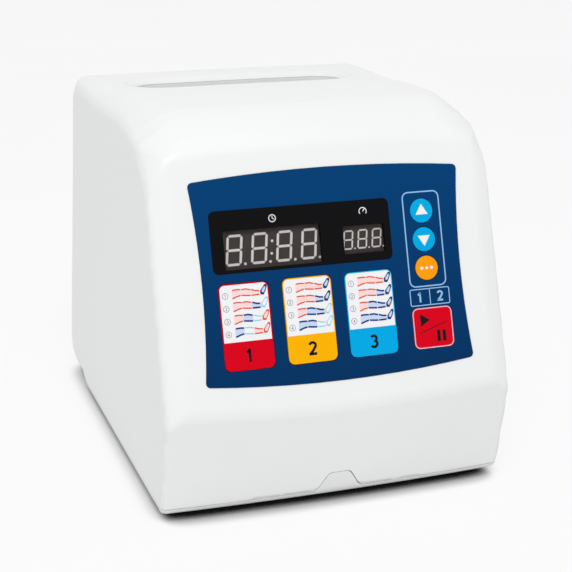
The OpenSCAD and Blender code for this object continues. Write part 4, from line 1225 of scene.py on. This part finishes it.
# %% Start key
START, START_SIZE, START_R = np.array((49.3, -47.4)), (21.4, 20.4), 3
PLAY = np.array([(-6.6, 0.9), (-1.6, 4.0), (-6.6, 7.1)])
PAUSE_US, PAUSE_V, PAUSE_BAR = (2.6, 5.6), -4.4, (1.7, 5.6)
start = Sheet("start_key_print", "start_key", "key_red", PANEL, FACE_N)
start.fill(
    ink_rim, soft_box(START, START_SIZE, START_R, -0.05), 0, soft_box(START, START_SIZE, START_R, -0.6),
)
start.fill(ink_black, PLAY + START)
start.line(ink_black, [START + (-7.6, -2.4), START, START + (7.6, 2.4)], 0.35)
for u in PAUSE_US:
    start.fill(ink_black, soft_box(START + (u, PAUSE_V), PAUSE_BAR, 0.2))
start.lay()

# %% Frames on the panel
KEYS_FRAME, KEYS_FRAME_SIZE = (48.7, -2.9), (19.4, 47.2)
lines = Sheet("panel_print", "housing", "panel_blue", PANEL, FACE_N)
frame_line(lines, ink_line, KEYS_FRAME, KEYS_FRAME_SIZE, 3, 0.65)
lines.lay()

ZONE, ZONE_SIZE = np.array((49.0, -31.9)), (21.8, 8.8)
zone = Sheet("zone_print", "housing", "indicator_blue", PANEL, FACE_N)
frame_line(zone, ink_line, ZONE, (ZONE_SIZE[0] - 0.7, ZONE_SIZE[1] - 0.7), 0.8, 0.5)
zone.line(ink_line, [ZONE + (0, -4.0), ZONE, ZONE + (0, 4.0)], 0.45)
for side, figure in ((-1, "1"), (1, "2")):
    zone.figure(ink_line, figure, ZONE + (side * ZONE_SIZE[0] / 4, 0), 5.0, 0, 0.19)
zone.lay()

# %% [markdown]
# ## Signs on the window and films on the modules
# A clock and a gauge stand over the two displays, printed on the window. Over each module lies a grey film
# that leaves only the segments, the points and the colon pale, so it is drawn as one more sheet of ink.

# %% Window signs
CLOCK, GAUGE = np.array((-29.5, 13.6)), np.array((17.4, 13.3))
SIGN_R, CLOCK_LINE, GAUGE_LINE = 1.9, 0.35, 0.4
signs = Sheet("window_print", "housing", "window_dark", PANEL, FACE_N)
signs.fill(ink_white, disc(CLOCK, SIGN_R, 32), 0, disc(CLOCK, 1.5, 32))
signs.line(ink_white, [CLOCK + (0, 1.1), CLOCK + (0, 0.5), CLOCK], CLOCK_LINE)
signs.line(ink_white, [CLOCK, CLOCK + (0.4, -0.2), CLOCK + (0.9, -0.45)], CLOCK_LINE)
arc = [math.radians(a) for a in range(-35, 216, 10)]
signs.line(ink_white, [GAUGE + (SIGN_R * math.cos(a), SIGN_R * math.sin(a)) for a in arc], GAUGE_LINE)
signs.line(ink_white, [GAUGE, GAUGE + (0.5, 0.7), GAUGE + (1.0, 1.4)], GAUGE_LINE)
signs.lay()

# %% Display films
FILM_N = -1.98      # the film lies just over the bars of the modules
LEAN = 0.13         # how far a digit leans to the right for each millimetre of its height
DIGIT_WIDE, BAR_WIDE, BAR_GAP, DOT = 0.54, 0.081, 0.014, 0.045      # shares of a digit's height
POINT = np.array((0.33, -0.46))     # where the point stands, in the same shares
TIME_MODULE = ((-29.85, -0.2), (50.1, 18.8))
PRESSURE_MODULE = ((17.3, -0.15), (22.4, 13.8))


def bar(first, last, width):
    """A segment with pointed ends, as an outline."""
    first, last = np.array(first), np.array(last)
    along = (last - first) / np.linalg.norm(last - first) * width / 2
    side = np.array((-along[1], along[0]))
    inner = first + along, last - along
    return [first, inner[0] + side, inner[1] + side, last, inner[1] - side, inner[0] - side]


def digit_bars(tall):
    """The seven segments of an upright digit about its middle."""
    w, h = tall * (DIGIT_WIDE - BAR_WIDE) / 2, tall * (1 - BAR_WIDE) / 2
    gap, width = tall * BAR_GAP, tall * BAR_WIDE
    level = [bar((-w + gap, y), (w - gap, y), width) for y in (-h, 0, h)]
    upright = [bar((x, y + gap), (x, y + h - gap), width) for x in (-w, w) for y in (-h, 0)]
    return level + upright


for name, (face_middle, face_size), count, pitch, tall, shift, colon in (
    ("time_display", TIME_MODULE, 4, 12.7, 15.0, -0.4, (-3.0, 3.0)),
    ("pressure_display", PRESSURE_MODULE, 3, 7.5, 9.5, -0.5, ()),
):
    film = Sheet(name + "_film", "housing", "display_grey", PANEL, FILM_N)
    film.fill(led_face, soft_box(face_middle, face_size, 0.2))
    row = np.array(face_middle) + (shift, 0)
    for i in range(count):
        middle = row + ((i - (count - 1) / 2) * pitch, 0)
        for outline in digit_bars(tall):
            slanted = [(x + LEAN * y, y) for x, y in outline]
            film.fill(led_bar, np.array(slanted) + middle, 1)
        film.fill(led_bar, disc(middle + tall * POINT, tall * DOT, 16), 1)
    for v in colon:
        film.fill(led_bar, disc(row + (LEAN * v, v), tall * DOT, 16), 1)
    film.lay()

# %% [markdown]
# ## Signs on the back
# Each hose socket has the number by which the panel names it, printed above it.

# %% Back signs
SOCKET_U, SIGN_V, SIGN_TALL = 35.0, 54.0, 4.6
REAR_FACE_N = 0.3
rear_signs = Sheet("rear_print", "housing", "tray_white", REAR, REAR_FACE_N)
for side, figure in ((1, "1"), (-1, "2")):
    rear_signs.figure(ink_black, figure, np.array((side * SOCKET_U, SIGN_V)), SIGN_TALL)
rear_signs.lay()

# %% The last lines
print("scene built")
